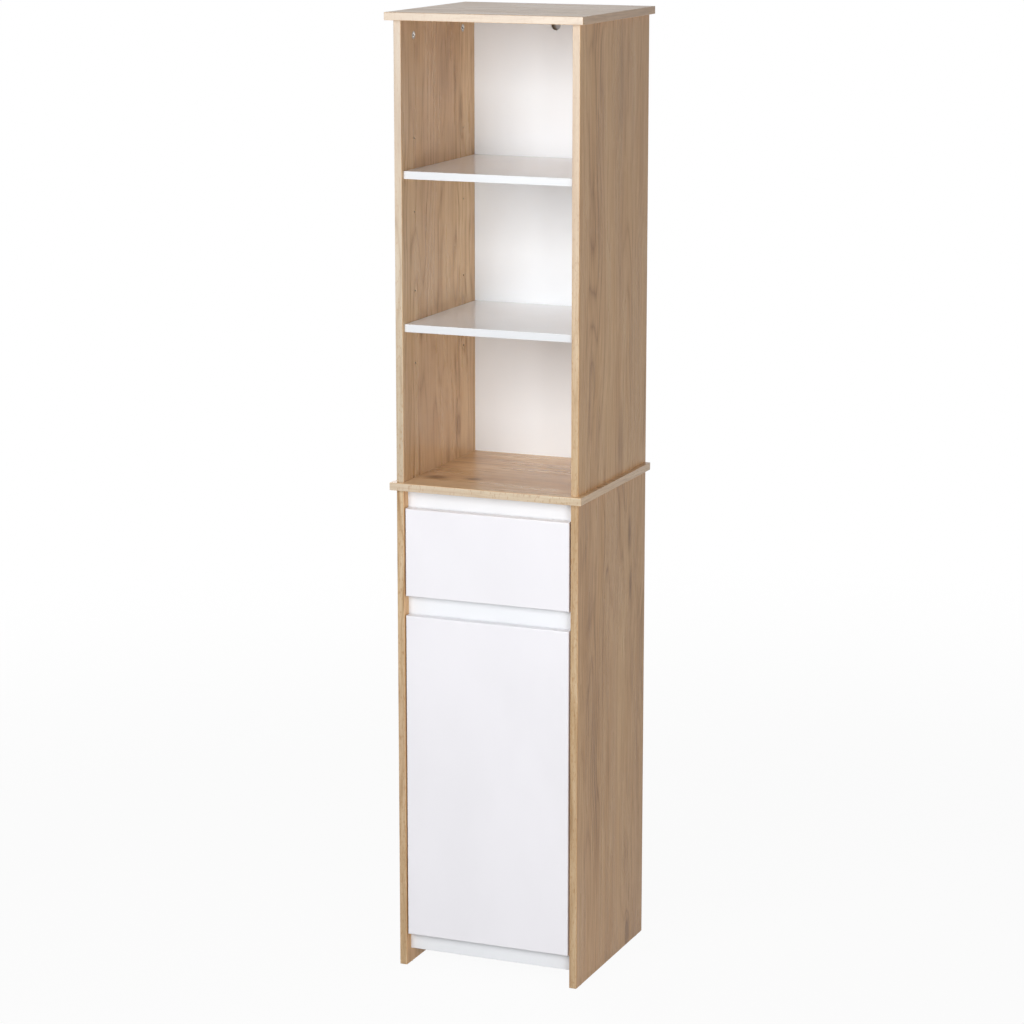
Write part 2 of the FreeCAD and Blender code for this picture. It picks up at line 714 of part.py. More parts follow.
GLIDES = ("glide_inset", "body_depth - glide_inset")
glides = []
for side, panel in (("-", BASE_PANELS["left"]), ("", BASE_PANELS["right"])):
    panel.drill("bottom", [("board / 2", y) for y in GLIDES], "nail_diameter", "nail_length", "glide_holes")
    for y in GLIDES:
        at = (f"{side}{SIDE_MIDDLE}", y, "0")
        foot = cylinder("glide_disc", "glide_diameter", "glide_height", at, "+z")
        nail = cylinder("glide_nail", "nail_diameter", "glide_height + nail_length", at, "+z")
        glides.append(fused("glide", [foot, nail]))
node("floor_glides", glides)


# Drawer box
BOX_INNER = f"({BOX_SIDE} - drawer_board)"
BOX_RISE = f"({BOX_LOW} - {DRAWER_BOTTOM})"
DRAWER_CAM_LEVELS = ("drawer_side_height / 4", "drawer_side_height * 3 / 4")
SCREW_LEVELS = ("drawer_side_height * 3 / 8", "drawer_side_height * 7 / 8")
RUNNER_SCREWS = ("drawer_depth / 6", "drawer_depth / 2", "drawer_depth * 5 / 6")
BOTTOM_GROOVE = "drawer_bottom_thickness + pin_play"

front = Board(
    "drawer_front", "y", (FRONT_WIDTH, "front_thickness", "drawer_front_height"),
    (FRONT_LEFT, "0", DRAWER_BOTTOM),
)
front.ease("Fillet", FRONT_EDGES, "front_rounding")
front.slot(
    "back", f"-{BOX_INNER} - {FRONT_LEFT} - groove_depth", f"{BOX_RISE} + drawer_bottom_inset",
    f"2 * {BOX_INNER} + 2 * groove_depth", BOTTOM_GROOVE, "groove_depth", "bottom_groove",
)
front_bolts = [
    (f"{side}({BOX_SIDE} - drawer_board / 2) - {FRONT_LEFT}", f"{BOX_RISE} + {level}")
    for side in ("-", "") for level in DRAWER_CAM_LEVELS
]
front.drill("back", front_bolts, "bolt_thread", "bolt_engagement", "bolt_holes")

drawer_cams, drawer_bolts, drawer_screws, sliding_screws = [], [], [], []
for hand, sign, inner, outer in (("left", "-", "right", "left"), ("right", "", "left", "right")):
    x = f"-{BOX_SIDE}" if hand == "left" else BOX_INNER
    side = Board(
        f"drawer_{hand}_side", "x", ("drawer_board", "drawer_depth", "drawer_side_height"),
        (x, "front_thickness", BOX_LOW),
    )
    side.ease("Chamfer", [("top", "left"), ("top", "right")], "edge_easing")
    side.slot(
        inner, "0", "drawer_bottom_inset", "drawer_depth", BOTTOM_GROOVE, "groove_depth", "bottom_groove"
    )
    bores = [("drawer_cam_distance", level) for level in DRAWER_CAM_LEVELS]
    depth = "drawer_cam_length + cam_play"
    side.drill(inner, bores, "cam_diameter + cam_play", depth, "cam_bores")
    bores = [("drawer_board / 2", level) for level in DRAWER_CAM_LEVELS]
    side.drill("front", bores, "bolt_bore", "drawer_cam_distance", "bolt_bores")
    holes = [("drawer_depth - drawer_board / 2", level) for level in SCREW_LEVELS]
    side.drill(outer, holes, "drawer_screw_diameter", "drawer_board", "screw_holes")
    side.drill(outer, holes, "screw_head_diameter", "screw_head_height", "screw_heads")
    holes = [("drawer_board / 2", spot) for spot in RUNNER_SCREWS]
    side.drill("bottom", holes, "runner_screw_diameter", "runner_screw_length", "runner_holes")
    out = "-x" if hand == "left" else "+x"
    middle_x = f"{sign}({BOX_SIDE} - drawer_board / 2)"
    for level in DRAWER_CAM_LEVELS:
        face = (f"{sign}{BOX_INNER}", "front_thickness + drawer_cam_distance", f"{BOX_LOW} + {level}")
        drawer_cams.append(
            cam_lock("drawer_cam", "drawer_cam_length", "drawer_board / 2", face, out, "-y")
        )
        edge = (middle_x, "front_thickness", f"{BOX_LOW} + {level}")
        drawer_bolts.append(cam_bolt("drawer_bolt", "drawer_cam_distance", edge, "-y"))
    for level in SCREW_LEVELS:
        y = "front_thickness + drawer_depth - drawer_board / 2"
        at = (f"{sign}{BOX_SIDE}", y, f"{BOX_LOW} + {level}")
        drawer_screws.append(
            screw("drawer_screw", "drawer_screw_diameter", "drawer_screw_length", at, opposite(out))
        )
    for spot in RUNNER_SCREWS:
        at = (middle_x, f"front_thickness + {spot}", f"{BOX_LOW} - runner_sheet")
        sliding_screws.append(
            screw("sliding_screw", "runner_screw_diameter", "runner_screw_length", at, "+z", "runner_sheet")
        )
node("drawer_cam_locks", drawer_cams)
node("drawer_cam_bolts", drawer_bolts)
node("drawer_back_screws", drawer_screws)
node("runner_screws_sliding", sliding_screws)

floor_level = f"({BOX_LOW} + drawer_bottom_inset)"
floor_width = f"(2 * {BOX_INNER} + 2 * groove_depth - 2 * panel_clearance)"
floor_start = "(front_thickness - groove_depth + panel_clearance)"
Board(
    "drawer_bottom", "z",
    (floor_width, f"front_thickness + drawer_depth - {floor_start}", "drawer_bottom_thickness"),
    (f"-{floor_width} / 2", floor_start, floor_level),
)
back_low = f"({floor_level} + {BOTTOM_GROOVE})"
back_height = f"({BOX_LOW} + drawer_side_height - {back_low})"
back = Board(
    "drawer_back", "y", (f"2 * {BOX_INNER}", "drawer_board", back_height),
    (f"-{BOX_INNER}", "front_thickness + drawer_depth - drawer_board", back_low),
)
for end in ("left", "right"):
    holes = [("drawer_board / 2", f"{BOX_LOW} + {level} - {back_low}") for level in SCREW_LEVELS]
    depth = "drawer_screw_length - drawer_board"
    back.drill(end, holes, "drawer_screw_diameter", depth, f"{end}_screw_holes")


# Roller runners: a channel with a front roller on each side panel, a rail with a rear roller on the drawer
TRACK_LOW = f"({DIVIDER_HIGH} + drawer_lift / 2)"
AXLE_LEVEL = f"({TRACK_LOW} + runner_sheet + running_gap + roller_radius)"
LIP_LOW = f"({AXLE_LEVEL} + roller_radius + running_gap)"
GUARD_LOW = f"({LIP_LOW} + runner_sheet + lip_gap)"
RUNNER_FRONT = "(front_thickness + runner_start)"
FRONT_AXLE = f"({RUNNER_FRONT} + axle_inset)"
REAR_AXLE = "(front_thickness + drawer_depth - axle_inset)"
AXLE_LENGTH = "(roller_width + 2 * roller_side_gap)"


def strip(name, hand, start, end, y, depth, low, height):
    """A sheet strip between two distances from the side panel, on the left or the right."""
    x = f"-{INNER} + {start}" if hand == "left" else f"{INNER} - ({end})"
    return block(name, (f"({end}) - ({start})", depth, height), (x, y, low))


def round_at(name, hand, diameter, start, length, y, z, outward=False):
    """A round bar along X from a distance off the side panel, towards the drawer or away from it."""
    x = f"-{INNER} + {start}" if hand == "left" else f"{INNER} - ({start})"
    inward = "+x" if hand == "left" else "-x"
    return cylinder(name, diameter, length, (x, y, z), opposite(inward) if outward else inward)


fixed_screws = []
for hand in ("left", "right"):
    inner = "right" if hand == "left" else "left"
    channel_height = f"{GUARD_LOW} + runner_sheet - {TRACK_LOW}"
    channel = [
        strip("web", hand, "0", "runner_sheet", RUNNER_FRONT, "drawer_depth", TRACK_LOW, channel_height),
        strip("track", hand, "0", "track_width", RUNNER_FRONT, "drawer_depth", TRACK_LOW, "runner_sheet"),
        strip("guard", hand, "0", "guard_width", RUNNER_FRONT, "drawer_depth", GUARD_LOW, "runner_sheet"),
    ]
    fixed_axle = "axle_radius * 2"
    channel.append(
        round_at("axle", hand, fixed_axle, "runner_sheet", AXLE_LENGTH, FRONT_AXLE, AXLE_LEVEL)
    )
    rivet_start = f"runner_sheet + {AXLE_LENGTH}"
    rivet = ("axle_head_diameter", rivet_start, "axle_head_height", FRONT_AXLE, AXLE_LEVEL)
    channel.append(round_at("rivet", hand, *rivet))
    runner = fused(f"channel_{hand}", channel)
    for spot in RUNNER_SCREWS:
        y = f"{RUNNER_FRONT} + {spot}"
        hole = round_at("hole", hand, "screw_head_diameter", "0", "runner_sheet", y, AXLE_LEVEL)
        runner = cut_from(f"channel_{hand}_drilled", runner, hole)
        x = f"-{INNER} + runner_sheet" if hand == "left" else f"{INNER} - runner_sheet"
        out = "-x" if hand == "left" else "+x"
        fixed_screws.append(
            screw("fixed_screw", "runner_screw_diameter", "runner_screw_length", (x, y, AXLE_LEVEL), out,
                  "runner_sheet")
        )
    node(f"runner_{hand}_fixed", [runner])
    holes = [(f"{RUNNER_FRONT} + {spot}", f"{AXLE_LEVEL} - glide_height") for spot in RUNNER_SCREWS]
    depth = "runner_screw_length - runner_sheet"
    BASE_PANELS[hand].drill(inner, holes, "runner_screw_diameter", depth, "runner_screw_holes")

    web_start = "runner_space - runner_sheet"
    web_low = f"({BOX_LOW} - runner_sheet)"
    web_height = f"{LIP_LOW} + runner_sheet - {web_low}"
    along = ("front_thickness", "drawer_depth")
    lip_start = f"{web_start} - lip_width"
    flange_end = "runner_space + flange_width"
    rivet = ("axle_head_diameter", f"{web_start} - {AXLE_LENGTH}", "axle_head_height")
    rail_parts = [
        strip("rail_web", hand, web_start, "runner_space", *along, web_low, web_height),
        strip("rail_lip", hand, lip_start, "runner_space", *along, LIP_LOW, "runner_sheet"),
        strip("rail_flange", hand, web_start, flange_end, *along, web_low, "runner_sheet"),
        round_at("rail_axle", hand, fixed_axle, web_start, AXLE_LENGTH, REAR_AXLE, AXLE_LEVEL, True),
        round_at("rail_rivet", hand, *rivet, REAR_AXLE, AXLE_LEVEL, True),
    ]
    slider = fused(f"rail_{hand}", rail_parts)
    for spot in RUNNER_SCREWS:
        sign = "-" if hand == "left" else ""
        at = (f"{sign}({BOX_SIDE} - drawer_board / 2)", f"front_thickness + {spot}", web_low)
        hole = cylinder("rail_hole", "screw_head_diameter", "runner_sheet", at, "+z")
        slider = cut_from(f"rail_{hand}_drilled", slider, hole)
    node(f"runner_{hand}_sliding", [slider])

    bore = "axle_radius * 2 + roller_bore_play"
    for end, start, y in (
        ("front", "runner_sheet + roller_side_gap", FRONT_AXLE),
        ("rear", f"{web_start} - roller_side_gap - roller_width", REAR_AXLE),
    ):
        wheel = round_at("wheel", hand, "roller_radius * 2", start, "roller_width", y, AXLE_LEVEL)
        hub = round_at("hub", hand, bore, start, "roller_width", y, AXLE_LEVEL)
        node(f"roller_{end}_{hand}", [cut_from("roller", wheel, hub)])
node("runner_screws_fixed", fixed_screws)


# Door, with its cups; the arms and plates stay on the left side panel
door = Board(
    "door_panel", "y", (FRONT_WIDTH, "front_thickness", "door_height"), (FRONT_LEFT, "0", "door_bottom")
)
door.ease("Fillet", FRONT_EDGES, "front_rounding")
HINGES = {
    "lower": "(door_bottom + hinge_from_edge)",
    "upper": f"({DOOR_TOP} - hinge_from_edge)",
}
cups = [("cup_centre", f"{level} - door_bottom") for level in HINGES.values()]
door.drill("back", cups, "cup_diameter + cup_play", "cup_depth + cup_play", "cup_bores")
cup_screws = [
    ("cup_centre", f"{level} {step} cup_screw_spread - door_bottom")
    for level in HINGES.values() for step in "+-"
]
door.drill("back", cup_screws, "hinge_screw_diameter", "hinge_screw_length - cup_flange", "cup_screw_holes")

bumpers = {"door_bumpers": [], "drawer_bumpers": []}
corner = f"({INNER} - front_gap_right - bumper_inset)"
for label, sides, low, high in (
    ("door_bumpers", ("",), "door_bottom", DOOR_TOP),
    ("drawer_bumpers", ("-", ""), DRAWER_BOTTOM, DRAWER_TOP),
):
    for side in sides:
        for level in (f"{low} + front_overlap / 2", f"{high} - front_overlap / 2"):
            at = (f"{side}{corner}", "front_thickness", level)
            bumpers[label].append(cylinder("bumper", "bumper_diameter", "bumper_thickness", at, "+y"))
    node(label, bumpers[label])

CUP_X = f"({FRONT_LEFT} + cup_centre)"
PLATE_MIDDLE = "(plate_front + plate_length / 2)"
ARM_TOP = "(plate_height + arm_thickness)"
ARM_SCREWS = ("plate_front + arm_length / 3", "plate_front + arm_length * 3 / 4")
hinge_cup_screws, plate_screws, arm_screws = [], [], []
for place_name, level in HINGES.items():
    mouth = (CUP_X, "front_thickness", level)
    bowl = cylinder("bowl", "cup_diameter - cup_play", "cup_depth", mouth, "-y")
    ring = cylinder("ring", "cup_diameter + 4 * cup_wall", "cup_flange", mouth, "+y")
    wing = block(
        "wing", ("cup_flange_width", "cup_flange", "cup_flange_length"),
        (f"{CUP_X} - cup_flange_width / 2", "front_thickness", f"{level} - cup_flange_length / 2"),
    )
    outside = fused("cup_outside", [bowl, ring, wing])
    rim = (CUP_X, "front_thickness + cup_flange", level)
    hollow = cylinder(
        "hollow", "cup_diameter - cup_play - 2 * cup_wall", "cup_depth - cup_wall + cup_flange", rim, "-y"
    )
    cup = cut_from("cup_bowl", outside, hollow)
    for step in "+-":
        at = (CUP_X, "front_thickness + cup_flange", f"{level} {step} cup_screw_spread")
        hole = cylinder("cup_hole", "screw_head_diameter", "cup_flange", at, "-y")
        cup = cut_from("cup_drilled", cup, hole)
        hinge_cup_screws.append(
            screw("cup_screw", "hinge_screw_diameter", "hinge_screw_length", at, "-y", "cup_flange")
        )
    node(f"hinge_cup_{place_name}", [cup])

    pin_x = f"{CUP_X} + link_pin_offset"
    pin_y = "front_thickness - link_pin_depth"
    chord = "(cup_diameter / 2 + link_width)"
    pin_at = (pin_x, pin_y, f"{level} - {chord} / 2")
    pin = cylinder("link_pin", "link_pin_diameter", chord, pin_at, "+z")
    low = f"{level} - link_width / 2"
    boss = cylinder("link_boss", "link_boss_diameter", "link_width", (pin_x, pin_y, low), "+z")
    lever = block(
        "lever", ("link_boss_diameter", "link_thickness", "link_width"),
        (f"{pin_x} - link_boss_diameter", f"{pin_y} + link_boss_diameter / 2 - link_thickness", low),
    )
    node(f"hinge_link_{place_name}", [fused("link", [pin, boss, lever])])

    base = block(
        "plate_base", ("plate_height", "plate_length", "plate_width"),
        (f"-{INNER}", "plate_front", f"{level} - plate_width / 2"),
    )
    wings = block(
        "plate_wings", ("plate_wing", "plate_wing_length", "plate_wing_span"),
        (f"-{INNER}", f"{PLATE_MIDDLE} - plate_wing_length / 2", f"{level} - plate_wing_span / 2"),
    )
    plate = fused("plate_body", [base, wings])
    for step in "+-":
        at = (f"-{INNER} + plate_wing", PLATE_MIDDLE, f"{level} {step} plate_screw_spread")
        hole = cylinder("plate_hole", "screw_head_diameter", "plate_wing", at, "-x")
        plate = cut_from("plate_drilled", plate, hole)
        length = "hinge_screw_length + plate_wing"
        plate_screws.append(screw("plate_screw", "hinge_screw_diameter", length, at, "-x", "plate_wing"))
    for depth in ARM_SCREWS:
        seat = (f"{ARM_TOP} - {INNER}", depth, level)
        under = shifted(seat, "-x", "arm_screw_height")
        head = cylinder("arm_screw_head", "arm_screw_diameter", "arm_screw_height", seat, "-x")
        reach = "arm_thickness - arm_screw_height + arm_screw_engagement"
        shank = cylinder("arm_screw_shank", "arm_screw_shank", reach, under, "-x")
        arm_screws.append(fused("arm_screw", [head, shank]))
        thread = cylinder("arm_screw_thread", "arm_screw_shank", reach, under, "-x")
        plate = cut_from("plate_threaded", plate, thread)
    node(f"hinge_plate_{place_name}", [plate])
node("hinge_cup_screws", hinge_cup_screws)
node("hinge_plate_screws", plate_screws)
node("hinge_arm_screws", arm_screws)
plate_holes = [
    (PLATE_MIDDLE, f"{level} {step} plate_screw_spread - glide_height")
    for level in HINGES.values() for step in "+-"
]
BASE_PANELS["left"].drill("right", plate_holes, "hinge_screw_diameter", "hinge_screw_length", "plate_holes")


# Hinge arms: a cranked channel on the plate whose nose reaches into the cup of the closed door
class Arm(Board):
    """The arm's plan outline, given its width, rounded, hollowed and bored for its two screws."""

    def __init__(self, label, level):
        self.label = label
        self.size = (ARM_TOP, "plate_front + arm_length", "arm_width")
        self.body = DOC.addObject("PartDesign::Body", label)
        self.body.Label = label
        place(self.body, f"-{INNER}", "0", f"{level} - arm_width / 2")
        end = "plate_front + arm_length"
        far = "nose_reach + nose_width"
        corners = [
            ("plate_height", "plate_front"),
            ("nose_reach", "plate_front - arm_crank"),
            ("nose_reach", "nose_tip"),
            (far, "nose_tip"),
            (far, "plate_front - arm_crank + nose_width"),
            (ARM_TOP, "plate_front + nose_width"),
            (ARM_TOP, end),
            ("plate_height", end),
        ]
        plan = self.sketch("bottom")
        guess = [(8, 40), (19, 29), (19, 14), (25, 14), (25, 35), (15, 46), (15, 76), (8, 76)]
        for index, point in enumerate(guess):
            following = guess[(index + 1) % len(guess)]
            line = Part.LineSegment(FreeCAD.Vector(*point, 0), FreeCAD.Vector(*following, 0))
            plan.addGeometry(line, False)
        for index, (x, y) in enumerate(corners):
            following = (index + 1) % len(corners)
            plan.addConstraint(Sketcher.Constraint("Coincident", index, 2, following, 1))
            self.dimension(plan, "DistanceX", (-1, 1, index, 1), x)
            self.dimension(plan, "DistanceY", (-1, 1, index, 1), y)
        pad = self.body.newObject("PartDesign::Pad", f"{label}_blank")
        pad.Profile = plan
        bind(pad, "Length", "arm_width")
        DOC.recompute()
        upright = [
            f"Edge{number}" for number, edge in enumerate(pad.Shape.Edges, start=1)
            if abs(edge.tangentAt(edge.FirstParameter).z) > 0.9
        ]
        rounding = self.body.newObject("PartDesign::Fillet", f"{label}_rounding")
        rounding.Base = (pad, upright)
        bind(rounding, "Radius", "arm_rounding")
        DOC.recompute()
        self.channel()
        self.screw_holes()

    def channel(self):
        """Opens the arm towards its plate, which leaves a top and two flanks of one wall."""
        start, length = "plate_front + nose_width", "arm_length - nose_width"
        width, depth = "arm_width - 2 * arm_wall", f"{ARM_TOP} - arm_wall"
        self.slot("left", start, "arm_wall", length, width, depth, "channel")

    def screw_holes(self):
        """Bores the holes and head seats of the adjusting screw and the fixing screw."""
        places = [(depth, "arm_width / 2") for depth in ARM_SCREWS]
        self.drill("right", places, "arm_screw_diameter", "arm_screw_height", "screw_seats")
        self.drill("right", places, "arm_screw_shank", "arm_wall", "screw_bores")


for place_name, level in HINGES.items():
    Arm(f"hinge_arm_{place_name}", level)


# Every body is a node as well
NODES += [item for item in DOC.Objects if item.TypeId == "PartDesign::Body"]
DOC.recompute()
for item in DOC.Objects:
    if {"Invalid", "Error"} & set(item.State):
        raise ValueError(f"{item.Name} did not build: {item.State}")
for item in NODES:
    if item.Shape.isNull() or not item.Shape.isValid():
        raise ValueError(f"{item.Label} has no valid shape")

os.makedirs("parts", exist_ok=True)
for item in NODES:
    item.Shape.exportStep(f"parts/{item.Label}.step")
    box = item.Shape.BoundBox
    print(f"{item.Label:26s} {len(item.Shape.Solids):3d} solids {item.Shape.Volume / 1000:10.2f} cm3")
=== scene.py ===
"""Looks of a tall bathroom cabinet in oak print and white: finishes, turned fittings and the studio."""

import json
import logging
import math
from collections.abc import Sequence
from dataclasses import dataclass
from enum import Enum
from typing import Any

import bpy
import numpy as np
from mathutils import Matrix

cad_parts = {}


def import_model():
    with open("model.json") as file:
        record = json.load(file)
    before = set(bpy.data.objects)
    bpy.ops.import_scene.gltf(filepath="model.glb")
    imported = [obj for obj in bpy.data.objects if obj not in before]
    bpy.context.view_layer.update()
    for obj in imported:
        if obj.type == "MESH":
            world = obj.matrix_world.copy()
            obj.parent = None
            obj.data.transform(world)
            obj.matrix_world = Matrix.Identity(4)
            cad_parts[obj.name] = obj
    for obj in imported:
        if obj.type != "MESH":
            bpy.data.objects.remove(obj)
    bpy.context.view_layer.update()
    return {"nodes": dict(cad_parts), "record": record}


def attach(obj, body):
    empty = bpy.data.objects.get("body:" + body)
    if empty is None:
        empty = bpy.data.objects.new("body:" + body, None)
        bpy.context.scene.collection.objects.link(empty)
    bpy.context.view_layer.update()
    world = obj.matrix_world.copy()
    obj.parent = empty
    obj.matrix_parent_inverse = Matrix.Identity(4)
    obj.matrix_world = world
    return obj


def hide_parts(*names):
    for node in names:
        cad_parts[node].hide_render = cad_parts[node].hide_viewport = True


LOG = logging.getLogger("cabinet")

Point = tuple[float, float, float]
Nodes = dict[str, bpy.types.Object]
Faces = list[tuple[int, ...]]
Socket = bpy.types.NodeSocket
Value = Socket | float | Point

WHITE: Point = (1.0, 1.0, 1.0)


def tone(red: int, green: int, blue: int) -> Point:
    """Turns a colour as it looks on screen into the linear colour that a shader takes.

    Args:
        red, green, blue: The colour's parts from 0 to 255.

    Returns:
        The linear parts, by the sRGB curve: (c + 0.055) / 1.055 to the power 2.4 above the toe.
    """
    part = np.array([red, green, blue]) / 255.0
    curve = np.where(part <= 0.04045, part / 12.92, ((part + 0.055) / 1.055) ** 2.4)
    return tuple(float(c) for c in curve)


@dataclass(frozen=True)
class Pattern:
    """A noise pattern.

    Attributes:
        stretch: How many waves a metre it has along each axis.
        detail, rough: How many finer layers are added, and how strong they are.
    """

    stretch: Point
    detail: float = 2.0
    rough: float = 0.5


class Graph:
    """The node tree of a material or a world, written as plain calls that return sockets."""

    MIX_FACTOR, MIX_FIRST, MIX_SECOND, MIX_RESULT = 0, 6, 7, 2
    FACING_FROM, FACING_TO = 0.7, 0.9

    def __init__(self, owner: bpy.types.Material | bpy.types.World) -> None:
        """Takes the node tree of a material or a world, and empties it.

        Args:
            owner: The material or the world.
        """
        owner.use_nodes = True
        self.tree = owner.node_tree
        self.tree.nodes.clear()

    def feed(self, socket: Socket, value: Value) -> None:
        """Links a socket to another, or sets it to a plain value.

        Args:
            socket: The input to feed.
            value: Another node's output, a number, a vector or a colour.
        """
        if isinstance(value, bpy.types.NodeSocket):
            self.tree.links.new(value, socket)
        elif socket.type == "RGBA":
            socket.default_value = (*value, 1.0)
        else:
            socket.default_value = value

    def fill(self, node: bpy.types.Node, values: dict[str, Value]) -> None:
        """Feeds a node's inputs by their names."""
        for name, value in values.items():
            self.feed(node.inputs[name], value)

    def node(self, kind: str, *values: Value, **settings: str) -> bpy.types.Node:
        """Makes a node.

        Args:
            kind: Its kind.
            values: What its first inputs are fed with.
            settings: Its own settings, made before its inputs are fed.

        Returns:
            The node.
        """
        node = self.tree.nodes.new(f"ShaderNode{kind}")
        for name, setting in settings.items():
            setattr(node, name, setting)
        for socket, value in zip(node.inputs, values):
            self.feed(socket, value)
        return node

    def math(self, kind: str, first: Value, second: Value = 0.0, third: Value = 0.0) -> Socket:
        """One arithmetic step on numbers, such as MULTIPLY or MULTIPLY_ADD."""
        return self.node("Math", first, second, third, operation=kind).outputs[0]

    def between(self, share: Socket, first: Value, second: Value) -> Socket:
        """A number between two others: first * (1 - share) + second * share."""
        rest = self.math("MULTIPLY", first, self.math("SUBTRACT", 1.0, share))
        return self.math("ADD", rest, self.math("MULTIPLY", second, share))

    def vector(self, kind: str, first: Value, second: Value = (0.0, 0.0, 0.0)) -> Socket:
        """One arithmetic step on vectors, such as ADD. LENGTH gives a number."""
        node = self.node("VectorMath", first, second, operation=kind)
        return node.outputs["Value" if kind == "LENGTH" else "Vector"]

    def split(self, vector: Socket) -> tuple[Socket, Socket, Socket]:
        """The three parts of a vector."""
        return tuple(self.node("SeparateXYZ", vector).outputs)

    def join(self, x: Value, y: Value, z: Value) -> Socket:
        """A vector from its three parts."""
        return self.node("CombineXYZ", x, y, z).outputs[0]

    def noise(self, place: Socket, pattern: Pattern) -> Socket:
        """Smooth noise from 0 to 1.

        Args:
            place: The position that it reads.
            pattern: Its waves and finer layers.

        Returns:
            The noise's value.
        """
        node = self.node("TexNoise", self.vector("MULTIPLY", place, pattern.stretch))
        self.fill(node, {"Scale": 1.0, "Detail": pattern.detail, "Roughness": pattern.rough})
        return node.outputs[0]

    def chips(self, place: Socket, scale: float) -> Socket:
        """A random shade for each cell of a Voronoi pattern, as chips pressed into a board.

        Args:
            place: The position that it reads.
            scale: How many cells a metre it has.

        Returns:
            The shade from 0 to 1.
        """
        node = self.node("TexVoronoi", place)
        self.fill(node, {"Scale": scale})
        return self.split(node.outputs["Color"])[0]

    def attribute(self, name: str) -> Socket:
        """A number that a mesh stores for each of its points, and 0 where it stores none."""
        return self.node("Attribute", attribute_name=name).outputs["Fac"]

    def span(self, value: Value, low: float, high: float, start: float = 0.0, end: float = 1.0) -> Socket:
        """Maps low to start and high to end by a smooth step, level outside them."""
        return self.node("MapRange", value, low, high, start, end, interpolation_type="SMOOTHSTEP").outputs[0]

    def looking(self, part: Socket, side: float = 1.0) -> Socket:
        """1 on faces that look along an axis (side 1) or against it (-1), by the normal's part on it."""
        return self.span(part, side * self.FACING_FROM, side * self.FACING_TO)

    def mix(self, share: Value, first: Value, second: Value, kind: str = "MIX") -> Socket:
        """Mixes two colours.

        Args:
            share: How much of the second colour is taken, from 0 to 1.
            first, second: The two colours.
            kind: The way that they mix.

        Returns:
            The mixed colour.
        """
        node = self.node("Mix", data_type="RGBA", blend_type=kind)
        inputs = ((self.MIX_FACTOR, share), (self.MIX_FIRST, first), (self.MIX_SECOND, second))
        for index, value in inputs:
            self.feed(node.inputs[index], value)
        return node.outputs[self.MIX_RESULT]

    def tinted(self, colour: Value, tint: Point) -> Socket:
        """A colour multiplied by a tint."""
        return self.mix(1.0, colour, tint, "MULTIPLY")

    def shaded(self, noise: Socket, colour: Point, share: float) -> Socket:
        """A colour that falls to a share of itself where a noise is low."""
        return self.mix(self.span(noise, 0.3, 0.7), tuple(c * share for c in colour), colour)

    def blend(self, share: Socket, first: Socket, second: Socket) -> Socket:
        """Mixes two shaders, the second one by the share."""
        return self.node("MixShader", share, first, second).outputs[0]

    def ramp(self, value: Value, *stops: tuple[float, Point]) -> Socket:
        """A colour ramp.

        Args:
            value: The place on the ramp, from 0 to 1.
            stops: Its stops, each a place and a colour.

        Returns:
            The colour at the value.
        """
        node = self.node("ValToRGB", value)
        marks = node.color_ramp.elements
        while len(marks) < len(stops):
            marks.new(1.0)
        for mark, (place, colour) in zip(marks, stops):
            mark.position = place
            mark.color = (*colour, 1.0)
        return node.outputs[0]


class Surface(Graph):
    """The node tree of one material with a Principled shader."""

    def __init__(self, name: str, roughness: float, metallic: float = 0.0) -> None:
        """Starts the material.

        Args:
            name: The material's name.
            roughness: Its roughness where no pattern feeds it.
            metallic: 1 for bare metal.
        """
        self.material = bpy.data.materials.new(name)
        super().__init__(self.material)
        self.output = self.node("OutputMaterial")
        self.shader = self.node("BsdfPrincipled")
        self.fill(self.shader, {"Roughness": roughness, "Metallic": metallic})
        self.feed(self.output.inputs["Surface"], self.shader.outputs[0])
        texture = self.node("TexCoord")
        self.place, self.facing = texture.outputs["Object"], texture.outputs["Normal"]

    def finish(self, colour: Value, roughness: Value, height: Socket, depth: float) -> bpy.types.Material:
        """Feeds the shader and its bump.

        Args:
            colour: The base colour.
            roughness: The roughness.
            height: The relief from 0 to 1.
            depth: How deep the relief is, in metres.

        Returns:
            The finished material.
        """
        bump = self.node("Bump")
        self.fill(bump, {"Strength": 1.0, "Distance": depth, "Height": height})
        self.fill(self.shader, {"Base Color": colour, "Roughness": roughness, "Normal": bump.outputs[0]})
        return self.material


class Grain(Enum):
    """The way that a board's grain runs."""

    ACROSS = "x"
    UPRIGHT = "z"


@dataclass(frozen=True)
class Knot:
    """A knot, flame or cathedral figure in the print.

    Attributes:
        centre: Its middle, in metres.
        across, along: How far it reaches across and along the grain, in metres.
        dark: How dark it is, with 1 for a plain knot.
    """

    centre: Point
    across: float
    along: float
    dark: float


Marks = list[tuple[Knot, Socket]]


